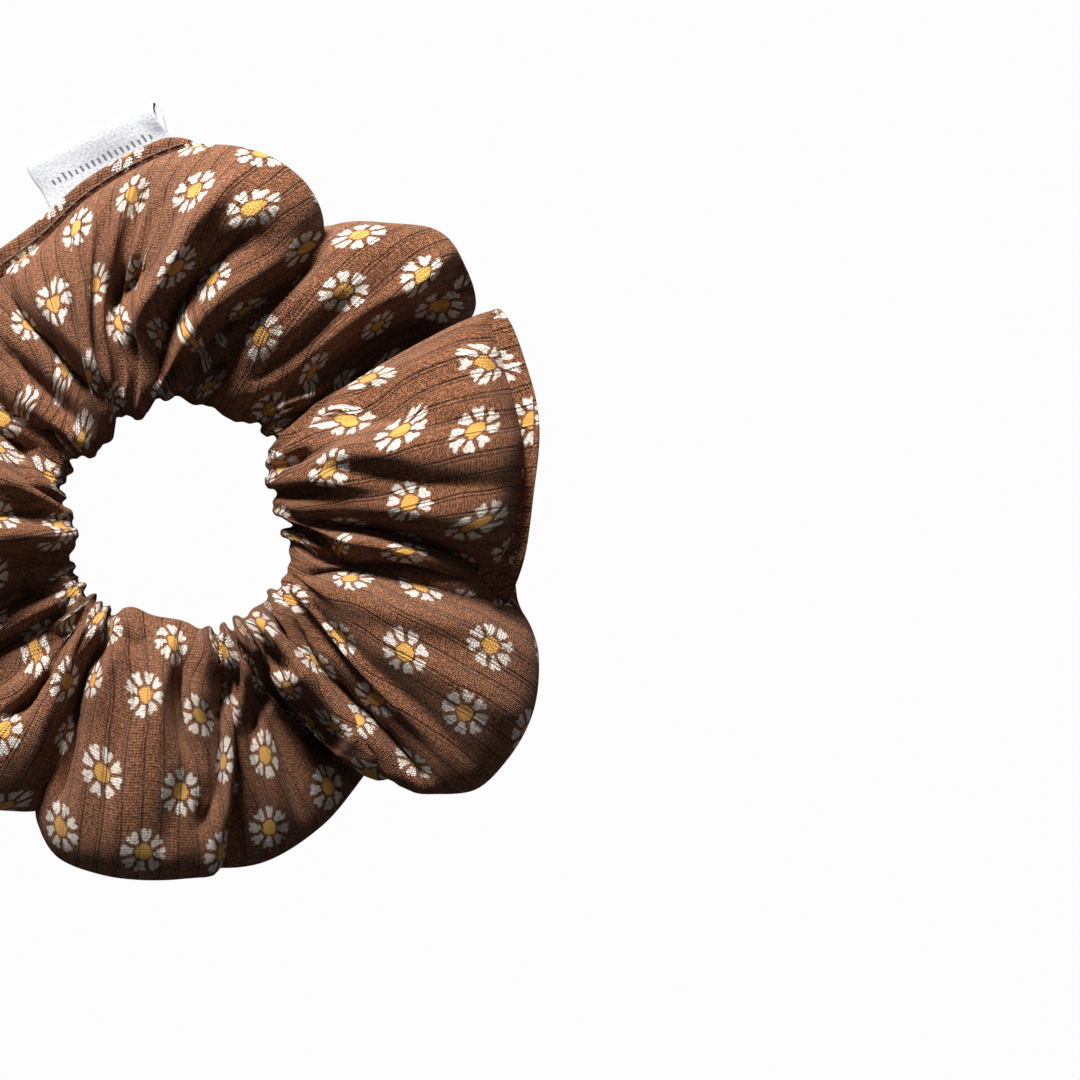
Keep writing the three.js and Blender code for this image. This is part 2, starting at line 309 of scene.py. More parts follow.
    def petal_mask(
        self, tree: bpy.types.NodeTree, flat: bpy.types.Node, out: bpy.types.NodeSocket, turn: bpy.types.Node
    ) -> bpy.types.Node:
        """The petals of one daisy: narrow at the root, notched at the tip, with patches of worn print.

        Args:
            tree: the material's node tree.
            flat: fabric coordinates in millimetres.
            out: distance from the daisy's middle, in millimetres.
            turn: how far round the daisy, in petals.

        Returns:
            1 on a petal.
        """
        smooth = {"interpolation_type": "SMOOTHSTEP"}
        turn = add_node(tree, "Math", {"operation": "ADD"}, {0: turn, 1: 20.0})
        off = add_node(tree, "Math", {"operation": "PINGPONG"}, {0: turn, 1: 0.5})
        lobe = add_node(tree, "Math", {"operation": "SUBTRACT"}, {0: off, 1: 0.19})
        lobe = add_node(tree, "Math", {"operation": "MULTIPLY"}, {0: lobe, 1: lobe})
        tip = add_node(tree, "Math", {"operation": "MULTIPLY_ADD"}, {0: lobe, 1: -11.0, 2: self.petal_reach})
        tip = add_node(tree, "Math", {"operation": "SUBTRACT"}, {0: tip, 1: out})
        tip = add_node(tree, "MapRange", smooth, {0: tip, 1: -0.22, 2: 0.22})
        width = add_node(tree, "MapRange", {}, {0: out, 1: 1.3, 2: 2.7, 3: 0.23, 4: 0.35})
        side = add_node(tree, "Math", {"operation": "SUBTRACT"}, {0: width, 1: off})
        side = add_node(tree, "MapRange", smooth, {0: side, 1: -0.06, 2: 0.06})
        root = add_node(tree, "MapRange", smooth, {0: out, 1: self.petal_root[0], 2: self.petal_root[1]})
        petal = add_node(tree, "Math", {"operation": "MULTIPLY"}, {0: tip, 1: side})
        petal = add_node(tree, "Math", {"operation": "MULTIPLY"}, {0: petal, 1: root})
        patches = add_node(tree, "TexNoise", {}, {"Vector": flat, "Scale": 2.2, "Detail": 2.0})
        worn = add_node(tree, "Math", {"operation": "MULTIPLY_ADD"}, {0: patches, 1: 2.6, 2: -0.34})
        return add_node(tree, "Math", {"operation": "MULTIPLY", "use_clamp": True}, {0: petal, 1: worn})


@dataclass(frozen=True)
class SatinRibbon:
    """Satin label ribbon, woven: long floats give it a soft sheen, and a faint weave shows close to."""

    face: str = "#b4b4b7"
    shadow: str = "#8e9095"  # between the threads
    ink: str = "#3d3d45"
    weave_pitch: float = 0.42  # mm, coarser than the real weave so that it shows
    weave_line: float = 0.03  # share of the weave that is a regular line
    mark_pitch: float = 0.95  # mm between the printed dashes
    mark_band: tuple[float, float] = (1.3, 2.6)  # mm from the fold line
    mark_fall: float = 0.5  # mm by which the shortest dash is shorter
    mark_share: float = 0.85  # how much the ink covers
    margin: float = 1.7  # mm without print at each end
    relief: float = 0.05  # mm of bump
    roughness: float = 0.42
    sheen: float = 0.25
    specular: float = 0.45

    def build(self, width: float) -> bpy.types.Material:
        """Builds the material.

        Args:
            width: the ribbon's width, in millimetres.

        Returns:
            The ribbon's material, which reads the UV map as places across and along it.
        """
        finish = {"Roughness": self.roughness, "Specular IOR Level": self.specular}
        finish |= {"Sheen Weight": self.sheen}
        material, shader = new_material("satin_ribbon", finish)
        tree = material.node_tree
        uv = add_node(tree, "UVMap", {"uv_map": "ribbon"}, {})
        flat = add_node(tree, "VectorMath", {"operation": "SCALE"}, {0: uv, "Scale": UV_SPAN})
        across, along, _ = add_node(tree, "SeparateXYZ", {}, {0: flat}).outputs
        weave = add_node(tree, "TexNoise", {}, {"Vector": flat, "Scale": 1 / self.weave_pitch, "Detail": 3.0})
        turn = add_node(tree, "Math", {"operation": "MULTIPLY"}, {0: along, 1: FULL_TURN / self.weave_pitch})
        line = add_node(tree, "Math", {"operation": "SINE"}, {0: turn})
        grain = add_node(tree, "Math", {"operation": "MULTIPLY_ADD"}, {0: line, 1: self.weave_line, 2: weave})
        tone = add_node(tree, "MapRange", {}, {0: grain, 1: 0.3, 2: 0.7})
        low, high = linear(self.shadow), linear(self.face)
        colour = add_node(tree, "Mix", {"data_type": "RGBA"}, {0: tone, 6: low, 7: high}).outputs[2]
        marked = {0: self.marks(tree, across, along, width), 6: colour, 7: linear(self.ink)}
        colour = add_node(tree, "Mix", {"data_type": "RGBA"}, marked).outputs[2]
        tree.links.new(colour, shader.inputs["Base Color"])
        bump = add_node(tree, "Bump", {}, {"Height": grain, "Distance": self.relief * MM, "Strength": 0.8})
        tree.links.new(bump.outputs[0], shader.inputs["Normal"])
        return material

    def marks(
        self,
        tree: bpy.types.NodeTree,
        across: bpy.types.NodeSocket,
        along: bpy.types.NodeSocket,
        width: float,
    ) -> bpy.types.Node:
        """A plain printed row of short dashes of uneven height, on the face that lies uppermost.

        Args:
            tree: the material's node tree.
            across: place across the ribbon, in millimetres.
            along: place along the printed face, in millimetres from the fold line.
            width: the ribbon's width, in millimetres.

        Returns:
            How much ink there is.
        """
        place = add_node(tree, "Math", {"operation": "DIVIDE"}, {0: across, 1: self.mark_pitch})
        cell = add_node(tree, "Math", {"operation": "FLOOR"}, {0: place})
        chance = add_node(tree, "TexWhiteNoise", {"noise_dimensions": "1D"}, {"W": cell})
        inside = add_node(tree, "Math", {"operation": "PINGPONG"}, {0: place, 1: 0.5})
        low, high = self.mark_band
        top = add_node(tree, "Math", {"operation": "MULTIPLY_ADD"}, {0: chance, 1: -self.mark_fall, 2: high})
        mark = add_node(tree, "Math", {"operation": "GREATER_THAN"}, {0: inside, 1: 0.3})
        above, below = ("GREATER_THAN", along, low), ("LESS_THAN", along, top)
        first, last = ("GREATER_THAN", across, self.margin), ("LESS_THAN", across, width - self.margin)
        for test, value, limit in (above, below, first, last):
            mask = add_node(tree, "Math", {"operation": test}, {0: value, 1: limit})
            mark = add_node(tree, "Math", {"operation": "MULTIPLY"}, {0: mark, 1: mask})
        return add_node(tree, "Math", {"operation": "MULTIPLY"}, {0: mark, 1: self.mark_share})


WAVE_TURN = 0.31  # a wave texture's scale times its pitch


@dataclass(frozen=True)
class SpunThread:
    """Core-spun polyester sewing thread: two plies twisted together, matte with a slight fuzz."""

    name: str
    colour: str
    # painted shade in the grooves between the twisted plies
    twist_shade: str
    twist: float = 0.45  # mm along one turn of the plies, coarser than the real twist so that it shows
    relief: float = 0.05  # mm of bump
    roughness: float = 0.72
    sheen: float = 0.2

    def build(self) -> bpy.types.Material:
        """Builds the material.

        Returns:
            The material, which reads Object coordinates.
        """
        material, shader = new_material(self.name, {"Roughness": self.roughness, "Sheen Weight": self.sheen})
        tree = material.node_tree
        at = add_node(tree, "TexCoord", {}, {}).outputs["Object"]
        wave = {"Vector": at, "Scale": WAVE_TURN / (self.twist * MM), "Distortion": 1.5, "Detail": 1.0}
        ply = add_node(tree, "TexWave", {"bands_direction": "DIAGONAL"}, wave).outputs[1]
        low, high = linear(self.twist_shade), linear(self.colour)
        # painted shade: the thread is drawn darker between the plies
        colour = add_node(tree, "Mix", {"data_type": "RGBA"}, {0: ply, 6: low, 7: high}).outputs[2]
        tree.links.new(colour, shader.inputs["Base Color"])
        bump = add_node(tree, "Bump", {}, {"Height": ply, "Distance": self.relief * MM, "Strength": 0.8})
        tree.links.new(bump.outputs[0], shader.inputs["Normal"])
        return material


@dataclass(frozen=True)
class BraidedElastic:
    """Braided elastic: polyester yarns crossing at a slant over rubber cores, so that ridges run along it."""

    yarn: str = "#eceae4"
    # painted shade in the hollows between the yarns and cores
    gap: str = "#a9a59b"
    ridge_pitch: float = 0.75  # mm between cores
    slant_pitch: float = 0.9  # mm between crossing yarns
    relief: float = 0.15  # mm of bump
    roughness: float = 0.8

    def build(self) -> bpy.types.Material:
        """Builds the material.

        Returns:
            The material, which reads Object coordinates.
        """
        material, shader = new_material("braided_elastic", {"Roughness": self.roughness})
        tree = material.node_tree
        at = add_node(tree, "TexCoord", {}, {}).outputs["Object"]
        ridges = {"Vector": at, "Scale": WAVE_TURN / (self.ridge_pitch * MM)}
        core = add_node(tree, "TexWave", {"bands_direction": "Z"}, ridges).outputs[1]
        slants = {"Vector": at, "Scale": WAVE_TURN / (self.slant_pitch * MM), "Distortion": 0.6}
        yarn = add_node(tree, "TexWave", {"bands_direction": "DIAGONAL"}, slants).outputs[1]
        braid = add_node(tree, "Math", {"operation": "MULTIPLY"}, {0: core, 1: yarn})
        # painted shade: the braid is drawn darker where its bump sinks
        low, high = linear(self.gap), linear(self.yarn)
        colour = add_node(tree, "Mix", {"data_type": "RGBA"}, {0: braid, 6: low, 7: high}).outputs[2]
        tree.links.new(colour, shader.inputs["Base Color"])
        bump = add_node(tree, "Bump", {}, {"Height": braid, "Distance": self.relief * MM, "Strength": 0.9})
        tree.links.new(bump.outputs[0], shader.inputs["Normal"])
        return material


class Part(Enum):
    """What a rib line is part of, across a lobe of the gathers."""

    LOBE = "lobe"
    TUCK = "tuck"


@dataclass(frozen=True)
class RibLine:
    """One rib of the knit from the hole to the rim, in degrees about the ring's axis and in millimetres."""

    hole: float  # angle where it turns into the hole
    inner: float  # distance from the ring's axis there
    rim: float  # angle at the rim seam
    reach: float  # distance of the seam from the ring's axis
    height: float  # height of the seam above the table
    puff: float  # half of the tube's thickness
    part: Part = Part.LOBE


TUCK = Part.TUCK
# Anticlockwise round the ring. A tuck is the fold that goes back under the lobe beside it.
RIB_LINES = [
    # left fan, from the end seam on
    RibLine(-167, 16.0, -176, 55.8, 24.5, 8.5),
    RibLine(-160, 16.8, -168, 54.8, 22, 7),
    RibLine(-155, 18.0, -162, 53, 19, 4),
    RibLine(-152, 17.9, -167, 47, 12, 1.8, TUCK),
    # low lobe left of the front fan
    RibLine(-148, 17.9, -161, 50, 8.5, 5),
    RibLine(-143, 17.9, -150, 54.3, 8, 7.5),
    RibLine(-139, 17.9, -140, 54, 9, 6.5),
    RibLine(-136.5, 17.9, -131, 50, 12, 1.8, TUCK),
    # pleat beside the front fan
    RibLine(-135, 17.9, -136, 52.5, 16, 4),
    RibLine(-132.5, 17.4, -128, 54.2, 17.5, 7),
    RibLine(-130.5, 17.9, -119, 50.8, 15, 5.5),
    RibLine(-129, 17.9, -110, 47, 10, 1.8, TUCK),
    # front fan
    RibLine(-127, 17.6, -112.5, 51.5, 13.5, 3.5),
    RibLine(-119, 15.0, -109, 54.6, 16, 6.5),
    RibLine(-106, 15.8, -102, 55.3, 17.5, 8),
    RibLine(-92, 15.2, -96, 55.2, 17.5, 8.5),
    RibLine(-82, 16.4, -90, 54.8, 16.5, 7),
    RibLine(-75, 17.8, -86, 54.2, 15, 4),
    RibLine(-73, 17.9, -92, 49, 12, 1.8, TUCK),
    # low panel beside it
    RibLine(-71, 17.9, -88, 53.0, 8, 3),
    RibLine(-69, 17.9, -78, 54.2, 6.5, 5.2),
    RibLine(-67, 17.9, -66, 51.8, 6.2, 5.4),
    RibLine(-65, 17.9, -56, 48.4, 7.0, 4.0),
    RibLine(-63.5, 17.9, -48, 46, 11, 1.8, TUCK),
    # narrow lobe
    RibLine(-61, 17.9, -52, 49.6, 18, 3.2),
    RibLine(-54, 17.4, -48.5, 51.8, 19.5, 5),
    RibLine(-46, 18.0, -45, 53, 17, 4),
    RibLine(-42, 17.9, -41, 50, 16, 1.8, TUCK),
    # right lower lobe
    RibLine(-39, 17.9, -48.3, 54.5, 21, 3.5),
    RibLine(-35, 17.9, -43, 60.5, 22, 6),
    RibLine(-29, 18.0, -36, 61.5, 23, 8.5),
    RibLine(-23, 18.0, -29, 60.8, 23, 9),
    RibLine(-16, 16.8, -22, 58.0, 21, 7),
    RibLine(-11, 15.6, -15.5, 52.8, 15.5, 4.5),
    RibLine(-7, 15.4, -9, 50.5, 12.5, 3.0),
    RibLine(-5, 17.2, -7, 47.5, 15.5, 2.2, TUCK),
    # big right fan
    RibLine(-3, 14.8, -14.5, 50.8, 22, 3.5),
    RibLine(4, 14.0, -8, 52.2, 25, 6.5),
    RibLine(12, 14.2, 3, 53.4, 27, 8.5),
    RibLine(20, 13.8, 14, 55.8, 28, 9),
    RibLine(26.5, 14.2, 22.5, 56.8, 27.5, 6.5),
    RibLine(32.5, 15.2, 31.5, 57.3, 26, 2.6),
    RibLine(38, 17.9, 27, 49, 15, 1.8, TUCK),
    # low pleat
    RibLine(42, 17.6, 30.5, 50, 7, 2.0),
    RibLine(46, 17.9, 33, 50, 7, 1.8, TUCK),
    # top right lobe
    RibLine(49, 17.8, 36.5, 55, 15.5, 2.6),
    RibLine(53, 16.8, 41, 57, 21, 4.0),
    RibLine(58.5, 15.8, 45, 58, 21, 6),
    RibLine(66, 16.4, 48, 57.3, 20, 8.2),
    RibLine(75, 17.0, 54.5, 52.8, 17.5, 8),
    RibLine(84, 16.4, 60, 47.6, 12, 5),
    RibLine(94, 18.0, 68, 44, 11, 1.8, TUCK),
    # top fold
    RibLine(99, 18.0, 64.5, 48.6, 20, 3.5),
    RibLine(104, 17.2, 68.5, 53, 24.5, 6.5),
    RibLine(109, 15.9, 75, 55.3, 25, 8.5),
    RibLine(115, 15.7, 83, 55.6, 21.5, 8.5),
    RibLine(120, 17.2, 90, 54.4, 18.5, 8),
    # top lobe, with the closed gap and the tag
    RibLine(125, 17.0, 98, 52.0, 16.4, 9.5),
    RibLine(131, 16.0, 107, 49.2, 15.2, 10.5),
    RibLine(138, 15.2, 117, 46, 15, 9.5),
    RibLine(145, 15.4, 127, 45.4, 15, 7),
    RibLine(150, 17.3, 136, 47.2, 15, 4),
    RibLine(152, 17.9, 130, 43, 12, 1.8, TUCK),
    # low left lobe
    RibLine(155, 17.9, 136, 46, 9, 4),
    RibLine(160, 17.8, 146, 53, 9.5, 7.5),
    RibLine(166, 17.9, 155, 53.5, 9, 6),
    RibLine(170, 17.9, 163, 47, 11, 1.8, TUCK),
    # left fan, up to the end seam
    RibLine(173, 17.9, 157.5, 52, 20, 3.5),
    RibLine(180, 15.8, 166, 55.6, 24, 8),
    RibLine(187, 15.6, 176, 56, 25, 9),
]


def running_length(path: np.ndarray) -> np.ndarray:
    """The length run along a path at each of its points."""
    return np.concatenate([[0], np.cumsum(np.linalg.norm(np.diff(path, axis=0), axis=1))])


def read_path(run: np.ndarray, values: np.ndarray, at: np.ndarray) -> np.ndarray:
    """Reads the values along a path, of which run is the running length, at some places."""
    return np.stack([np.interp(at, run, values[:, i]) for i in range(values.shape[1])], 1)


def unit(vectors: np.ndarray, guard: float = TINY) -> np.ndarray:
    """Scales vectors to a length of 1, with a guard added to each length before it divides."""
    return vectors / (np.linalg.norm(vectors, axis=-1) + guard)[..., None]


def resample(path: np.ndarray, count: int) -> np.ndarray:
    """Spaces points evenly along a path.

    Args:
        path: its corners.
        count: how many points to make.

    Returns:
        The points.
    """
    run = running_length(path)
    return read_path(run, path, np.linspace(0, run[-1], count))


def hermite(
    share: np.ndarray, ends: tuple[np.ndarray, np.ndarray], leave: np.ndarray, arrive: np.ndarray
) -> np.ndarray:
    """Reads a smooth span between two values.

    Args:
        share: the share of the way along the span.
        ends: the values at its two ends.
        leave: its slope at the start, over the whole span.
        arrive: its slope at the end, over the whole span.

    Returns:
        The value at each share.
    """
    cube, square = share**3, share**2
    first, second = ends
    return (
        (2 * cube - 3 * square + 1) * first
        + (cube - 2 * square + share) * leave
        + (3 * square - 2 * cube) * second
        + (cube - square) * arrive
    )


def open_curve(path: np.ndarray, count: int) -> np.ndarray:
    """Runs a smooth open curve through a few points.

    Args:
        path: the points that it passes.
        count: how many points to read from it.

    Returns:
        Points spaced evenly by the length of the straight path.
    """
    run = running_length(path)
    slope = np.gradient(path, run, axis=0)
    at = np.linspace(0, run[-1], count)
    index = np.clip(np.searchsorted(run, at, side="right") - 1, 0, len(path) - 2)
    width = np.diff(run)[index][:, None]
    share = ((at - run[index]) / width[:, 0])[:, None]
    return hermite(share, (path[index], path[index + 1]), slope[index] * width, slope[index + 1] * width)


def closed_curve(
    knots: np.ndarray, values: np.ndarray, at: np.ndarray, limited: bool = False, turn: float = 0.0
) -> np.ndarray:
    """Runs a smooth closed curve through values.

    Args:
        knots: where each value stands, and last the length of the whole round.
        values: one value for each knot.
        at: where to read the curve.
        limited: keeps the curve from overshooting its values.
        turn: what a whole round adds to the value.

    Returns:
        The curve's value at each place.
    """
    after = np.concatenate([values[1:], [values[0] + turn]])
    width = np.diff(knots)
    slope = (after - values) / width
    before, width_before = np.roll(slope, 1), np.roll(width, 1)
    if limited:
        same = slope * before > 0
        tangent = np.where(same, 2 * slope * before / np.where(same, slope + before, 1), 0)
    else:
        tangent = (before * width + slope * width_before) / (width + width_before)
    index = np.clip(np.searchsorted(knots, at, side="right") - 1, 0, len(values) - 1)
    share = (at - knots[index]) / width[index]
    leave, arrive = tangent[index] * width[index], np.roll(tangent, -1)[index] * width[index]
    return hermite(share, (values[index], after[index]), leave, arrive)


def even_out(values: np.ndarray, reach: int) -> np.ndarray:
    """Averages each value with its neighbours along a closed round.

    Args:
        values: the values, by column.
        reach: how many columns the bell-shaped average reaches each way.

    Returns:
        The evened values.
    """
    steps = np.arange(-3 * reach, 3 * reach + 1)
    weights = np.exp(-((steps / reach) ** 2))
    total = sum(weight * np.roll(values, step, 0) for step, weight in zip(steps, weights))
    return total / weights.sum()


def surface_normals(grid: np.ndarray) -> np.ndarray:
    """The normal at each point of a grid that is closed round its columns, of any length."""
    around = np.roll(grid, -1, 0) - np.roll(grid, 1, 0)
    return np.cross(around, np.gradient(grid, axis=1))


def refine(coarse: np.ndarray) -> np.ndarray:
    """Doubles a grid of values in both directions.

    Args:
        coarse: the values, closed round the columns and open across the rows.

    Returns:
        Twice the columns, and a row between each two, on smooth curves through the given values.
    """
    around = (9 * (coarse + np.roll(coarse, -1, 0)) - np.roll(coarse, 1, 0) - np.roll(coarse, -2, 0)) / 16
    tall = np.empty((2 * len(coarse),) + coarse.shape[1:])
    tall[::2], tall[1::2] = coarse, around
    padded = np.concatenate([2 * tall[:, :1] - tall[:, 1:2], tall, 2 * tall[:, -1:] - tall[:, -2:-1]], 1)
    between = (9 * (padded[:, 1:-2] + padded[:, 2:-1]) - padded[:, :-3] - padded[:, 3:]) / 16
    wide = np.empty((len(tall), 2 * coarse.shape[1] - 1) + coarse.shape[2:])
    wide[:, ::2], wide[:, 1::2] = tall, between
    return wide


def lift_off_table(
    height: np.ndarray, soft: float = 1.2, rest: float = 0.6, least: float = 0.05
) -> np.ndarray:
    """Brings what would sink below the table up to it, softly.

    Args:
        height: heights above the table, in millimetres.
        soft: how far above the table it begins.
        rest: the height that comes down onto the table.
        least: the lowest height that is left.

    Returns:
        The new heights.
    """
    return soft * np.log1p(np.exp(np.clip((height - rest) / soft, -30, 30))) + least


FOLD_POINTS = 24  # a fold's path is read at this many points
RIDGE_POWER, VALLEY_POWER = 2.0, 1.3  # a ridge is round, a valley comes to a crease
VALLEYS_GROW = (18.0, 25.0)  # mm from the ring's axis, from the elastic to where valleys have full depth
VALLEY_AT_ELASTIC = 0.4  # share of their depth there


@dataclass(frozen=True)
class Fold:
    """A crease or a soft ridge pressed into the gathers, as seen from above."""

    path: tuple[tuple[float, float], ...]  # x and y from the ring's axis, in millimetres
    rise: float  # mm; below zero for a valley
    width: float  # mm
    lean: float = 0.0  # mm the cloth on its left side hangs over it; below zero for the right side

    def shift(self, plan: np.ndarray, upward: np.ndarray) -> np.ndarray:
        """How the fold moves the cloth.

        Args:
            plan: x and y of the cloth's points from the ring's axis, in millimetres.
            upward: how far each point faces up, from 0 to 1.

        Returns:
            Each point's move, in millimetres.
        """
        near, along, side, across = self.nearest(plan)
        fade = np.sqrt(np.clip(np.sin(math.pi * np.clip(along * 0.94 + 0.03, 0, 1)), 0, 1))
        power = RIDGE_POWER
        if self.rise < 0:
            power = VALLEY_POWER
            radius = np.hypot(plan[..., 0], plan[..., 1])
            fade = fade * (VALLEY_AT_ELASTIC + (1 - VALLEY_AT_ELASTIC) * smoothstep(*VALLEYS_GROW, radius))
        move = np.zeros(plan.shape[:-1] + (3,))
        move[..., 2] = self.rise * (np.exp(-((near / self.width) ** power)) * fade * upward)
        if self.lean:
            hang = np.exp(-(((near - 0.4 * self.width) / (1.2 * self.width)) ** 2)) * fade * upward
            leaning = (side * self.lean > 0) * smoothstep(0.0, 0.5, np.abs(side))
            move[..., :2] = across * (hang * leaning * self.lean)[..., None]
        return move

    def nearest(self, plan: np.ndarray) -> tuple[np.ndarray, np.ndarray, np.ndarray, np.ndarray]:
        """Finds where each point lies beside the fold.

        Args:
            plan: x and y of the cloth's points from the ring's axis, in millimetres.

        Returns:
            Distance from the path, share of the way along it, distance to its left, and way to its right.
        """
        near = np.full(plan.shape[:-1], np.inf)
        along, side, across = np.zeros_like(near), np.zeros_like(near), np.zeros_like(plan)
        path = open_curve(np.array(self.path), FOLD_POINTS)
        lengths = np.linalg.norm(np.diff(path, axis=0), axis=1)
        total, done = lengths.sum(), 0.0
        for start, end, length in zip(path[:-1], path[1:], lengths):
            way = (end - start) / length
            offset = plan - start
            forward = np.clip(offset @ way, 0, length)
            distance = np.linalg.norm(offset - forward[..., None] * way, axis=-1)
            closer = distance < near
            near = np.where(closer, distance, near)
            along = np.where(closer, (done + forward) / total, along)
            side = np.where(closer, offset[..., 0] * -way[1] + offset[..., 1] * way[0], side)
            across = np.where(closer[..., None], np.array([way[1], -way[0]]), across)
            done += length
        return near, along, side, across


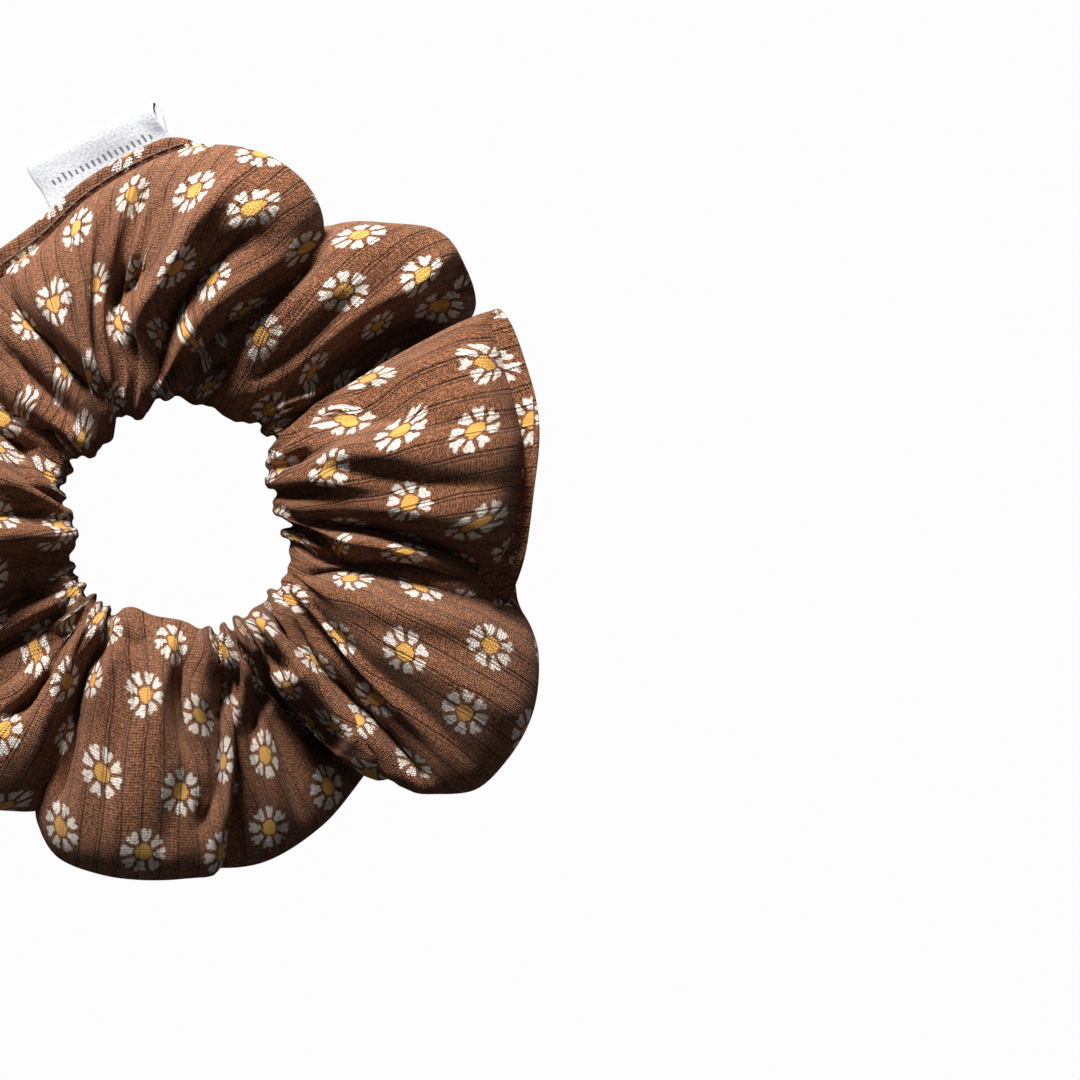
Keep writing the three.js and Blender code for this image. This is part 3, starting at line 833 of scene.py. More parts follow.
FOLDS = [
    # top lobe
    Fold(((9.6, 50.6), (3.6, 44.3), (0.2, 39.2), (-3.3, 34.1), (-5.9, 30.3), (-7.8, 26.6)), 4.08, 1.7),
    Fold(((-4.2, 37.6), (-7.0, 34.7), (-9.6, 31.6)), -6.8, 1.9),
    Fold(((10.8, 42.2), (4.8, 37.4), (-0.4, 31.2), (-2.4, 25.8), (-3.0, 19.0)), -8.0, 2.0, -1.4),
    Fold(((17.6, 38.9), (11.0, 34.6), (4.8, 29.7), (0.2, 22.7), (-0.5, 18.0)), 2.21, 1.6),
    Fold(((20.5, 37.6), (12.2, 31.5), (6.2, 27.5), (3.0, 23.0), (2.1, 18.0)), -6.4, 1.3, -0.8),
    Fold(((-27.5, 37.2), (-23.0, 29.7), (-19.2, 25.8), (-14.1, 20.1), (-9.0, 15.8)), -4.8, 1.2, 0.6),
    Fold(((-22.2, 34.8), (-17.7, 28.4), (-12.5, 22.4), (-9.0, 17.6)), 1.87, 1.3),
    Fold(((-5.7, 49.6), (-4.0, 43.5), (-4.2, 38.0)), -2.6, 2.6),
    Fold(((-13.2, 46.4), (-12.6, 39.5), (-9.6, 31.0), (-6.0, 22.5)), -2.0, 2.0),
    Fold(((-17.2, 41.5), (-16.0, 34.0), (-11.6, 25.5)), 1.36, 2.4),
    Fold(((14.0, 47.5), (8.5, 41.0)), 1.7, 2.4),
    # top right lobe
    Fold(((30.6, 43.0), (22.5, 36.8), (14.0, 29.0), (8.8, 22.0), (7.2, 17.6)), 2.04, 2.6),
    Fold(((11.7, 17.2), (19.4, 22.6), (26.4, 28.6), (33.8, 33.4), (40.4, 36.0)), 2.04, 1.4),
    Fold(((19.5, 20.0), (24.6, 22.4), (29.8, 25.4), (38.4, 29.0)), -12.0, 2.6),
    Fold(((12.6, 13.1), (19.4, 17.7), (24.6, 21.0)), 2.38, 1.1),
    Fold(((11.0, 20.0), (18.0, 25.4), (26.0, 32.4)), -2.8, 1.3),
    Fold(((33.2, 31.4), (36.9, 34.8), (41.6, 40.6)), 2.72, 1.8),
    Fold(((35.6, 30.6), (40.6, 34.0), (45.0, 36.4)), -3.6, 1.8),
    Fold(((25.0, 38.6), (20.0, 32.8), (13.0, 25.0)), -1.4, 1.6),
    # big right fan
    Fold(((17.0, 14.0), (25.0, 14.2), (37.0, 13.9), (48.3, 13.0)), -2.4, 2.2),
    Fold(((15.3, 7.0), (27.3, 6.4), (39.3, 4.7), (48.3, 4.4)), -1.8, 1.8),
    Fold(((15.0, 9.6), (22.0, 10.2), (34.0, 9.0)), 1.36, 1.7),
    Fold(((16.0, 1.6), (24.3, 1.8), (33.3, 0.6), (42.3, -1.8)), 1.7, 1.9),
    Fold(((20.0, 17.6), (29.0, 20.6), (40.0, 23.0), (48.0, 24.2)), 1.19, 2.2),
    Fold(((48.8, 30.4), (49.2, 26.4), (49.8, 21.6), (50.8, 16.6), (51.6, 12.7)), -12.0, 1.7, -1.8),
    Fold(((50.6, 16.0), (51.8, 9.0), (51.6, 3.0), (50.8, -2.0), (48.4, -7.4)), -9.2, 1.4, -1.2),
    # right lower lobe
    Fold(
        ((16.0, -0.8), (22.8, -0.8), (28.8, -1.4), (35.3, -3.0), (41.4, -5.4), (46.0, -8.3), (50.6, -12.8)),
        -11.6, 1.9, 1.4,
    ),
    Fold(((18.3, -4.6), (26.6, -3.9), (37.0, -5.9), (43.8, -8.6)), 2.21, 1.5),
    Fold(((17.6, -9.4), (26.4, -7.8), (30.8, -7.1), (36.9, -7.9), (43.0, -9.6)), -5.2, 0.9, 0.6),
    Fold(((19.7, -9.8), (28.2, -13.0), (36.9, -15.2), (46.0, -16.6), (52.0, -20.4)), 2.55, 2.6),
    Fold(((20.0, -13.0), (23.4, -17.0), (27.0, -20.4)), -2.8, 0.9),
    Fold(
        ((17.9, -16.2), (21.0, -21.8), (25.2, -26.0), (30.8, -31.5), (34.7, -36.0), (36.9, -38.9)),
        -6.0, 1.1, 0.8,
    ),
    Fold(((24.0, -18.6), (34.0, -26.4), (44.6, -37.0)), -1.8, 2.0),
    Fold(((29.0, -18.0), (40.0, -24.0), (52.0, -31.0)), 1.19, 2.4),
    # narrow lobe
    Fold(((12.2, -14.6), (16.8, -20.3), (21.3, -27.8), (28.8, -35.3)), 2.04, 1.9),
    Fold(((11.0, -17.0), (14.0, -20.9), (17.0, -23.4)), -3.8, 0.8),
    Fold(((15.8, -27.2), (19.4, -30.9), (24.0, -35.6)), -12.8, 3.0),
    Fold(((13.4, -24.6), (18.6, -27.6)), 1.7, 1.6),
    # front fan and the low panel beside it
    Fold(((9.3, -17.6), (10.0, -24.8), (8.6, -31.5)), 2.89, 1.2),
    Fold(
        ((6.9, -18.0), (6.4, -24.0), (5.6, -32.0), (5.7, -36.8), (5.0, -41.6), (3.3, -46.6)),
        -6.8, 1.2, -0.8,
    ),
    Fold(((11.9, -19.6), (12.4, -26.0), (10.8, -32.4)), -4.8, 1.0),
    Fold(((11.6, -30.0), (13.8, -41.3), (16.4, -50.0)), 2.21, 2.4),
    Fold(((0.8, -17.4), (0.6, -22.0), (0.3, -27.0), (0.9, -32.7), (2.5, -36.6)), -4.8, 1.3, 0.5),
    Fold(((-1.6, -17.2), (-1.4, -22.0), (-2.6, -27.8), (-2.2, -34.0)), 2.04, 1.3),
    Fold(((3.4, -17.6), (3.6, -23.0), (3.4, -29.0)), 2.55, 1.5),
    Fold(((-12.4, -21.4), (-9.0, -17.8), (-6.2, -19.4), (-4.0, -17.6)), -3.2, 0.9),
    Fold(((-9.4, -19.6), (-11.2, -24.0), (-12.2, -30.0)), 1.87, 1.4),
    Fold(((-6.2, -21.0), (-7.2, -27.8), (-9.5, -36.8), (-11.7, -45.8)), -1.8, 2.0),
    Fold(((1.4, -38.0), (-0.6, -44.0), (-1.8, -51.0)), -2.0, 2.0),
    Fold(
        ((-11.6, -20.3), (-13.7, -23.1), (-14.6, -27.0), (-15.2, -32.0), (-16.1, -36.8), (-17.2, -42.0)),
        -6.0, 1.1, 0.7,
    ),
    # pleat and low lobe on its left
    Fold(
        ((-9.4, -14.0), (-12.8, -17.2), (-16.4, -22.0), (-18.8, -25.8), (-20.0, -32.0), (-20.6, -36.0)),
        2.55, 1.5,
    ),
    Fold(((-14.4, -15.9), (-16.6, -18.8), (-19.2, -23.9), (-21.2, -27.4), (-27.0, -31.0)), -5.6, 1.1, 0.6),
    Fold(((-17.2, -17.8), (-22.2, -22.3), (-28.0, -26.0)), -1.8, 1.2),
    Fold(((-16.6, -12.4), (-22.2, -14.6), (-29.0, -18.6)), 2.04, 1.7),
    Fold(((-17.0, -9.6), (-22.2, -11.2), (-28.7, -14.0)), -4.4, 1.0),
    # left fan
    Fold(((-16.6, 7.2), (-21.5, 9.2), (-28.7, 11.9)), -4.4, 1.0),
    Fold(((-16.0, 3.6), (-22.0, 4.6), (-30.0, 5.8)), 1.87, 1.6),
    Fold(((-16.0, -0.8), (-20.7, 0.2), (-30.0, -0.6)), -3.6, 1.0),
    Fold(((-16.2, -5.2), (-20.7, -5.4), (-30.0, -7.8)), -2.8, 1.2),
    Fold(((-15.6, 10.8), (-21.0, 15.6), (-28.0, 22.0)), 1.87, 1.5),
    Fold(((-14.6, 13.4), (-19.4, 18.4), (-26.8, 25.6)), -3.4, 1.1),
]


@dataclass
class GatheredCover:
    """The knit tube gathered round its elastic: one open strip whose long edges are the lips of the rim seam.

    Sizes are in millimetres and angles in degrees, except where a comment says otherwise.
    """

    centre: Vector  # of the ring, on the table, in millimetres
    middle_height: float = 15.0  # of the hole's wall above the table
    columns: int = 760  # ribwise lines of the mesh, round the ring
    wall_rows: int = 54  # rows of each side of the tube
    lip_rows: int = 10
    hole_puff: float = 7.4  # half of the tube's thickness at the hole
    roundness: float = 0.72  # power of the tube's section; 1 is an ellipse
    section_size: tuple[float, float] = (36.0, 8.0)  # depth and half thickness, which the rows are spaced for
    layer_gap: float = 0.6  # half of the space left between the tube's two sides
    rim_bulge: float = 1.1  # how far the cloth stands out beside the seam
    fin: float = 3.4  # how far the closed gap's edges stand out
    gap_start: float = 84.0  # degrees round the ring
    gap_end: float = 146.0
    gap_height: tuple[float, float] = (10.5, 13.0)  # the lips stand out only where the seam is above this
    allowance: float = 6.0  # of cloth turned in at the rim seam
    elastic_heights: tuple[float, float] = (12.0, 18.0)
    elastic_radii: tuple[float, float] = (19.2, 23.4)
    elastic_room: float = 0.7  # between the elastic and the cloth
    gathered_length: float = 0.6  # share of the rim's length that is bunched up at the elastic
    smoothing: tuple[float, int] = (0.65, 8)  # how far the hole's wall is evened out, over how many columns
    # pleats at the elastic: how many round the ring, their height, and the share of the way out they reach
    pleats: tuple[tuple[int, float, float], ...] = ((23, 1.1, 0.55), (37, 0.8, 0.4), (61, 0.35, 0.3))
    pleat_seed: int = 7
    table_sag: float = 0.3  # how far the cloth that lies on the table sinks onto it
    sag_below: tuple[float, float] = (1.0, 6.0)  # heights between which that fades
    tuck_spread: tuple[float, float] = (3.5, 6.5)  # along the seam, at the rim and added to it at the hole
    width_evening: int = 30  # columns over which the strip's width is evened out
    seam: np.ndarray = field(init=False)
    outward: np.ndarray = field(init=False)  # at the seam, out of the rim
    edge_normal: np.ndarray = field(init=False)  # at the seam, up out of the cloth
    stand: np.ndarray = field(init=False)  # how far the lips stand out of the rim, from 0 to 1
    walls: np.ndarray = field(init=False)  # the tube's two sides, without the lips
    inward: np.ndarray = field(init=False)  # normals of the walls
    length: float = field(init=False)  # of the rim seam

    def build(self) -> bpy.types.Object:
        """Builds the cover and dresses it.

        Returns:
            The cover, in place of its CAD node.
        """
        points, fabric = self.shape()
        made = grid_mesh("knit_cover", points + np.array(self.centre), fabric)
        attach(made, "cover")
        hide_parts("fabric_cover")
        made.data.materials.append(RibbedKnit().build())
        return made

    def shape(self) -> tuple[np.ndarray, np.ndarray]:
        """Works out the strip.

        Returns:
            The strip's points about the ring's axis, and where each lies on the flat fabric, in millimetres.
        """
        line = self.lines()
        share, lift = self.section()
        self.seam = np.stack([line["x"], line["y"], line["z"]], 1)
        middle = self.middle_surface(line, share)
        normal = self.normals(middle, share)
        self.outward = unit(middle[:, -1] - middle[:, -3], guard=0)
        self.edge_normal = normal[:, -1]
        self.stand = self.standing()
        walls = self.sides(middle, normal, share, lift, line["puff"])
        walls[:, :, 2] = lift_off_table(walls[:, :, 2])
        walls = self.relax(walls, np.concatenate([share[::-1], share[1:]]))
        upward = self.upward(walls)
        walls = walls + sum(fold.shift(walls[..., :2], upward) for fold in FOLDS)
        self.walls = self.wrap_elastic(walls)
        facing = unit(surface_normals(self.walls))
        self.inward = facing * np.sign(facing[:, self.walls.shape[1] // 4, 2].mean())
        strip = np.concatenate([self.lip(1.0), self.walls, self.lip(-1.0)[:, ::-1]], 1)
        height = strip[:, :, 2] - self.table_sag * (1 - smoothstep(*self.sag_below, strip[:, :, 2]))
        strip[:, :, 2] = np.maximum(height, 0.0)
        return strip, self.flat(strip, line)

    def lines(self) -> dict[str, np.ndarray]:
        """Runs smooth curves through the rib lines.

        Returns:
            By name, for each column of the mesh: the seam's x, y and z, the rib lines' own values, and the
            place along the seam. knot_place is the place of each rib line.
        """
        rim = np.radians([line.rim for line in RIB_LINES])
        reach = np.array([line.reach for line in RIB_LINES])
        seam = np.stack([reach * np.cos(rim), reach * np.sin(rim), [line.height for line in RIB_LINES]], 1)
        chord = np.linalg.norm(np.roll(seam, -1, 0) - seam, axis=1) ** 0.5
        knots = np.concatenate([[0], np.cumsum(chord)])
        fine = np.linspace(0, knots[-1], 40 * len(RIB_LINES), endpoint=False)
        curve = np.stack([closed_curve(knots, seam[:, i], fine) for i in range(3)], 1)
        step = np.linalg.norm(np.roll(curve, -1, 0) - curve, axis=1)
        run = np.concatenate([[0], np.cumsum(step)])
        self.length = run[-1]
        ends = np.concatenate([fine, [knots[-1]]])
        place = np.linspace(0, run[-1], self.columns, endpoint=False)
        at = np.interp(place, run, ends)
        values = {axis: closed_curve(knots, seam[:, i], at) for i, axis in enumerate("xyz")}
        for name, turn in (("inner", 0.0), ("puff", 0.0), ("hole", 360.0)):
            own = np.array([getattr(line, name) for line in RIB_LINES], float)
            values[name] = closed_curve(knots, own, at, True, turn)
        return values | {"place": place, "knot_place": np.interp(knots[:-1], ends, run)}

    def section(self) -> tuple[np.ndarray, np.ndarray]:
        """Gives the tube's section, from the hole to the rim.

        Returns:
            The share of the way to the rim, and the share of the full half thickness, of each row.
        """
        deep, thick = self.section_size
        fine = np.linspace(0, math.pi, 2000)
        share = (1 - np.cos(fine)) / 2
        lift = np.sin(fine) ** self.roundness
        run = np.concatenate([[0], np.cumsum(np.hypot(np.diff(share) * deep, np.diff(lift) * thick))])
        at = np.interp(np.linspace(0, run[-1], self.wall_rows), run, fine)
        return (1 - np.cos(at)) / 2, np.sin(at) ** self.roundness

    def middle_surface(self, line: dict[str, np.ndarray], share: np.ndarray) -> np.ndarray:
        """Gives the surface midway between the tube's two sides.

        Args:
            line: the curves through the rib lines.
            share: each row's share of the way from the hole to the rim.

        Returns:
            Its points, by column and row.
        """
        angle, radius = np.radians(line["hole"]), line["inner"]
        level = np.full(self.columns, self.middle_height)
        turn = np.stack([radius * np.cos(angle), radius * np.sin(angle), level], 1)
        plan = share[None, :, None]
        rise = np.sin(share * math.pi / 2)[None, :] ** 0.8
        middle = turn[:, None, :] * (1 - plan) + self.seam[:, None, :] * plan
        middle[:, :, 2] = turn[:, None, 2] * (1 - rise) + self.seam[:, None, 2] * rise
        return middle

    def normals(self, middle: np.ndarray, share: np.ndarray) -> np.ndarray:
        """Gives the unit normals of the middle surface, smoothed round the ring and upright near the hole.

        Args:
            middle: the middle surface.
            share: each row's share of the way from the hole to the rim.

        Returns:
            A normal for each point.
        """
        around = np.roll(middle, -1, 0) - np.roll(middle, 1, 0)
        normal = unit(np.cross(np.gradient(middle, share, axis=1), around), NORMAL_TINY)
        for _ in range(6):
            normal = unit(normal + np.roll(normal, 1, 0) + np.roll(normal, -1, 0), NORMAL_TINY)
        upright = (1 - smoothstep(0.12, 0.42, share))[None, :, None]
        return unit(normal * (1 - upright) + np.array([0.0, 0.0, 1.0]) * upright, guard=0)

    def sides(
        self, middle: np.ndarray, normal: np.ndarray, share: np.ndarray, lift: np.ndarray, puff: np.ndarray
    ) -> np.ndarray:
        """Puffs the tube out to both sides of its middle surface.

        Args:
            middle: the middle surface.
            normal: its normals.
            share: each row's share of the way from the hole to the rim.
            lift: each row's share of the full half thickness.
            puff: each column's half thickness.

        Returns:
            The tube's wall from the seam over the top to the hole, and back along the bottom.
        """
        near_hole = 1 - smoothstep(0.08, 0.4, share)[None, :]
        half = np.maximum(puff[:, None], self.hole_puff * near_hole) * lift[None, :]
        apart = (half + self.layer_gap * smoothstep(0.0, 0.35, share)[None, :])[:, :, None] * normal
        bulge = self.rim_bulge * np.sqrt(np.clip(1 - share, 0, 1)) * np.exp(-(((1 - share) / 0.08) ** 2))
        out = bulge[None, :, None] * self.outward[:, None, :]
        top, bottom = middle + apart + out, middle - apart + out
        return np.concatenate([top[:, ::-1], bottom[:, 1:]], 1)

    def relax(self, walls: np.ndarray, share: np.ndarray) -> np.ndarray:
        """Lets the gathered walls settle as cloth, on a grid of half as many columns and rows.

        Args:
            walls: the guiding shape, by column and row.
            share: each row's share of the way from the hole to the rim.

        Returns:
            The settled walls.
        """
        coarse, level = walls[::2, ::2], share[::2]
        start = coarse + self.gathers(coarse, level)
        around = np.linalg.norm(np.roll(coarse, -1, 0) - coarse, axis=2)
        at_rim = self.length / len(coarse)
        along = np.maximum(around, at_rim * (1 - self.gathered_length * (1 - level)[None, :] ** 1.5))
        across = np.linalg.norm(np.diff(coarse, axis=1), axis=2)
        across = np.concatenate([across, across[:, -1:]], 1)
        hold = 0.03 + 0.9 * smoothstep(0.985, 1.0, level) + 0.03 * (1 - smoothstep(0.0, 0.05, level))
        hold = np.broadcast_to(hold[None, :], along.shape)
        settled = ClothRelaxer(along, across, hold).settle(start)
        walls = walls + refine(settled - coarse)
        strength, reach = self.smoothing
        evened = strength * (1 - smoothstep(0.0, 0.12, share))[None, :, None]
        return walls + evened * (even_out(walls, reach) - walls)

    def gathers(self, coarse: np.ndarray, level: np.ndarray) -> np.ndarray:
        """The small pleats that start at the elastic and run out towards the rim.

        Args:
            coarse: the walls that they are pressed into.
            level: each row's share of the way from the hole to the rim.

        Returns:
            Each point's move, in millimetres.
        """
        chance = np.random.default_rng(self.pleat_seed)
        place = np.arange(len(coarse)) / len(coarse)
        wave = np.zeros(coarse.shape[:2])
        for count, size, reach in self.pleats:
            phase = chance.uniform(0, FULL_TURN)
            wander = np.zeros(len(coarse))
            for slow in range(1, 6):
                wander += chance.normal() * np.sin(FULL_TURN * slow * place + chance.uniform(0, 6.28)) / slow
            ripple = np.sin(FULL_TURN * count * place + phase + 1.6 * wander)
            strength = np.exp(-((level / reach) ** 2)) * (0.4 + 0.6 * smoothstep(0.0, 0.12, level))
            wave += size * ripple[:, None] * strength[None, :]
        return wave[:, :, None] * unit(surface_normals(coarse))

    def upward(self, walls: np.ndarray) -> np.ndarray:
        """How far each point of the tube faces up.

        Args:
            walls: the tube's wall, by column and row.

        Returns:
            From 0 to 1 on the upper side, smoothed round the ring, and 0 on the lower side.
        """
        up = -unit(surface_normals(walls))[:, :, 2]
        if up[:, walls.shape[1] // 4].mean() < 0:
            up = -up
        up = smoothstep(0.1, 0.6, up) * (np.arange(walls.shape[1]) < walls.shape[1] // 2)
        for _ in range(4):
            up = (up + np.roll(up, 1, 0) + np.roll(up, -1, 0)) / 3
        return up

    def wrap_elastic(self, walls: np.ndarray) -> np.ndarray:
        """Keeps the cloth round the elastic that it is gathered on.

        Args:
            walls: the tube's wall, by column and row.

        Returns:
            The wall, clear of the elastic above and below.
        """
        low, high = self.elastic_heights
        near, far = self.elastic_radii
        radius = np.hypot(walls[:, :, 0], walls[:, :, 1])
        beside = np.clip(near - radius, 0, None) * 1.6 + np.clip(radius - far, 0, None) * 1.1
        clear = radius < near - 0.4
        upper = np.where(clear, -np.inf, high + self.elastic_room - beside)
        lower = np.where(clear, np.inf, low - self.elastic_room + beside)
        top = np.arange(walls.shape[1]) < walls.shape[1] // 2
        height = walls[:, :, 2]
        shaped = walls.copy()
        shaped[:, :, 2] = np.where(top, np.maximum(height, upper), np.minimum(height, lower))
        return shaped

    def standing(self) -> np.ndarray:
        """How far the seam's lips stand out of the rim.

        Returns:
            From 0 to 1, at each column.
        """
        angle = np.degrees(np.arctan2(self.seam[:, 1], self.seam[:, 0])) % 360
        rise = smoothstep(self.gap_start - 6, self.gap_start + 10, angle)
        fall = 1 - smoothstep(self.gap_end - 14, self.gap_end - 6, angle)
        return rise * fall * smoothstep(*self.gap_height, self.seam[:, 2])

    def lip(self, side: float) -> np.ndarray:
        """One lip of the seam: turned in all round, and standing out of the rim where the gap was closed.

        Args:
            side: 1 for the upper lip, -1 for the lower.

        Returns:
            The lip's points, by column and row.
        """
        half, edge = self.layer_gap / 3, self.fin
        turned_in = [(-self.allowance, half), (-1.0, half), (-0.35, 0.22), (-0.12, 0.36), (-0.06, 0.5)]
        turned_in.append((0, self.layer_gap))
        stood_out = [(-1.0, half), (2.6, half), (edge - 0.15, 0.3), (edge, 0.55), (edge - 0.25, 0.8)]
        stood_out.append((0.35, 0.62))
        path_in, path_out = (resample(np.array(path), self.lip_rows) for path in (turned_in, stood_out))
        share = self.stand[:, None, None]
        path = path_in[None] * (1 - share) + path_out[None] * share
        across = path[:, :, 0, None] * self.outward[:, None, :]
        return self.seam[:, None, :] + across + side * path[:, :, 1, None] * self.edge_normal[:, None, :]

    def flat(self, strip: np.ndarray, line: dict[str, np.ndarray]) -> np.ndarray:
        """Lays the strip flat.

        Args:
            strip: the strip's points, by column and row.
            line: the curves through the rib lines.

        Returns:
            Where each point lies on the fabric, in millimetres along it and across it from the hole.
        """
        along = self.flat_along(strip, line)
        steps = np.cumsum(np.linalg.norm(np.diff(strip, axis=1), axis=2), 1)
        across = np.concatenate([np.zeros((self.columns, 1)), steps], 1)
        hole = (strip.shape[1] - 1) // 2
        upper, lower = across[:, : hole + 1], across[:, hole:] - across[:, hole : hole + 1]
        upper_width, lower_width = (even_out(side[:, -1:], self.width_evening) for side in (upper, lower))
        upper = upper * upper_width / upper[:, -1:]
        lower = lower * lower_width / lower[:, -1:]
        across = np.concatenate([upper - upper_width, lower[:, 1:]], 1)
        return np.stack([along, np.concatenate([across, across[:1]], 0)], 2)

    def flat_along(self, strip: np.ndarray, line: dict[str, np.ndarray]) -> np.ndarray:
        """How far along the fabric each point lies. Cloth that a row misses is hidden in the tucks.

        Args:
            strip: the strip's points, by column and row.
            line: the curves through the rib lines.

        Returns:
            Millimetres along the fabric, by column and row, with the first column again at the end.
        """
        rows = strip.shape[1]
        step = np.linalg.norm(np.roll(strip, -1, 0) - strip, axis=2)
        run = np.concatenate([np.zeros((1, rows)), np.cumsum(step, 0)], 0)
        grid = np.concatenate([line["place"], [self.length]])
        along = np.zeros((self.columns + 1, rows))
        spans = self.tuck_spans(line["knot_place"])
        at_rim, at_hole = self.tuck_spread
        for row in range(rows):
            spare = np.zeros(self.columns + 1)
            zone = at_rim + at_hole * math.exp(-(((row - (rows - 1) / 2) / (0.12 * rows)) ** 2))
            for tuck, start, end in spans:
                seen = self.read(grid, run[:, row], end) - self.read(grid, run[:, row], start)
                spare += ((end - start) - seen) * smoothstep(tuck - zone, tuck + zone, grid)
            along[:, row] = run[:, row] + spare
        for _ in range(12):
            along[:, 1:-1] = (along[:, :-2] + 2 * along[:, 1:-1] + along[:, 2:]) / 4
        return along

    def tuck_spans(self, knot_place: np.ndarray) -> list[tuple[float, float, float]]:
        """Shares the seam out among the tucks.

        Args:
            knot_place: the place of each rib line along the seam.

        Returns:
            The place of each tuck, and where its stretch of the seam starts and ends, halfway to the next.
        """
        places = [knot_place[index] for index, line in enumerate(RIB_LINES) if line.part is TUCK]
        spans = []
        for index, here in enumerate(places):
            before, after = places[index - 1], places[(index + 1) % len(places)]
            start = (here + before) / 2 if before < here else (here + before - self.length) / 2
            end = (here + after) / 2 if after > here else (here + after + self.length) / 2
            spans.append((here, start, end))
        return spans

    def read(self, grid: np.ndarray, run: np.ndarray, place: float) -> float:
        """Reads a row's running length.

        Args:
            grid: the place of each column along the seam.
            run: the row's running length at each column.
            place: where to read it, which may lie before the start or past the end.

        Returns:
            The running length there.
        """
        turns = math.floor(place / self.length)
        return float(np.interp(place - turns * self.length, grid, run)) + turns * float(run[-1])


@dataclass
class ClothRelaxer:
    """Lets a strip of cloth settle: threads keep their length, bends open out, and layers push apart."""

    along: np.ndarray  # rest length between columns, for each point
    across: np.ndarray  # rest length between rows, for each point
    hold: np.ndarray  # pull back to the starting shape, for each point
    thickness: float = 1.35  # mm between layers
    rounds: int = 180
    search_every: int = 6
    swell: float = 0.002  # mm that the filled tube swells each round
    floor: float = 0.3  # mm above the table
    lengthwise_pull: tuple[float, float] = (0.9, 0.55)  # how hard a stretched and a pressed thread pulls back
    crosswise_pull: tuple[float, float] = (0.9, 0.7)
    bias_pull: tuple[float, float] = (0.08, 0.02)
    # columns that a bend spans, the least share of their length that stays between its ends, and its strength
    bends: tuple[tuple[int, float, float], ...] = ((2, 0.93, 0.3), (4, 0.72, 0.16))
    flatten_rows: float = 0.1
    flatten_columns: float = 0.06
    push: float = 0.4
    push_limit: float = 0.5  # mm each round
    neighbours: int = 3  # columns or rows that count as the same patch of cloth
    search_margin: float = 1.25

    def settle(self, start: np.ndarray) -> np.ndarray:
        """Runs the rounds.

        Args:
            start: the strip's points, by column and row, in millimetres.

        Returns:
            The settled points.
        """
        cloth = start.copy()
        for turn in range(self.rounds):
            if turn % self.search_every == 0:
                pairs = self.close_pairs(cloth)
            self.lengthwise(cloth)
            self.crosswise(cloth)
            self.bias(cloth)
            self.bend(cloth)
            self.push_apart(cloth, pairs)
            cloth += self.swell * unit(surface_normals(cloth))
            cloth += self.hold[:, :, None] * (start - cloth)
            cloth[:, :, 2] = np.maximum(cloth[:, :, 2], self.floor)
        return cloth

    def lengthwise(self, cloth: np.ndarray) -> None:
        """Keeps the length between neighbouring columns.

        Args:
            cloth: the strip's points, which it moves.
        """
        for first in (0, 1):
            rolled = np.roll(cloth, -first, 0)
            rest = np.roll(self.along, -first, 0)[::2]
            self.pull(rolled[::2], rolled[1::2], rest, self.lengthwise_pull)
            cloth[:] = np.roll(rolled, first, 0)

    def crosswise(self, cloth: np.ndarray) -> None:
        """Keeps the length between neighbouring rows.

        Args:
            cloth: the strip's points, which it moves.
        """
        for first in (0, 1):
            last = first + (cloth.shape[1] - first) // 2 * 2
            one, two = cloth[:, first:last:2], cloth[:, first + 1 : last : 2]
            self.pull(one, two, self.across[:, first:last:2], self.crosswise_pull)

    def bias(self, cloth: np.ndarray) -> None:
        """Gives the knit a little stiffness on the bias.

        Args:
            cloth: the strip's points, which it moves.
        """
        rest = np.hypot(self.along[:, 1:], self.across[:, :-1])
        for reach in (1, -1):
            other = np.roll(cloth, -reach, 0)
            move = self.stretch(cloth[:, :-1], other[:, 1:], rest, self.bias_pull)
            cloth[:, :-1] += move
            cloth[:, 1:] -= np.roll(move, reach, 0)

    def bend(self, cloth: np.ndarray) -> None:
        """Opens out bends sharper than the fabric can take.

        Args:
            cloth: the strip's points, which it moves.
        """
        for reach, least, strength in self.bends:
            rest = self.along * reach * least
            move = self.stretch(cloth, np.roll(cloth, -reach, 0), rest, (0.0, strength))
            cloth += move - np.roll(move, reach, 0)
        cloth[:, 1:-1] += self.flatten_rows * ((cloth[:, 2:] + cloth[:, :-2]) / 2 - cloth[:, 1:-1])
        cloth += self.flatten_columns * ((np.roll(cloth, 1, 0) + np.roll(cloth, -1, 0)) / 2 - cloth)

    def stretch(
        self, one: np.ndarray, two: np.ndarray, rest: np.ndarray, pull: tuple[float, float]
    ) -> np.ndarray:
        """How far the first of two points moves towards its rest length from the second.

        Args:
            one: the first points.
            two: the second points.
            rest: the length that each two should keep.
            pull: how much of the way they move where they are too far apart, and where too close.

        Returns:
            The first points' moves. The second ones move as far the other way.
        """
        gap = two - one
        length = np.linalg.norm(gap, axis=-1) + TINY
        over = (length - rest) / length
        strength = np.where(over > 0, *pull) * 0.5 * over
        return gap * strength[..., None]

    def pull(self, one: np.ndarray, two: np.ndarray, rest: np.ndarray, pull: tuple[float, float]) -> None:
        """Moves two sets of points towards their rest length.

        Args:
            one: the first points, which it moves.
            two: the second points, which it moves.
            rest: the length that each two should keep.
            pull: how much of the way they move where they are too far apart, and where too close.
        """
        move = self.stretch(one, two, rest, pull)
        one += move
        two -= move

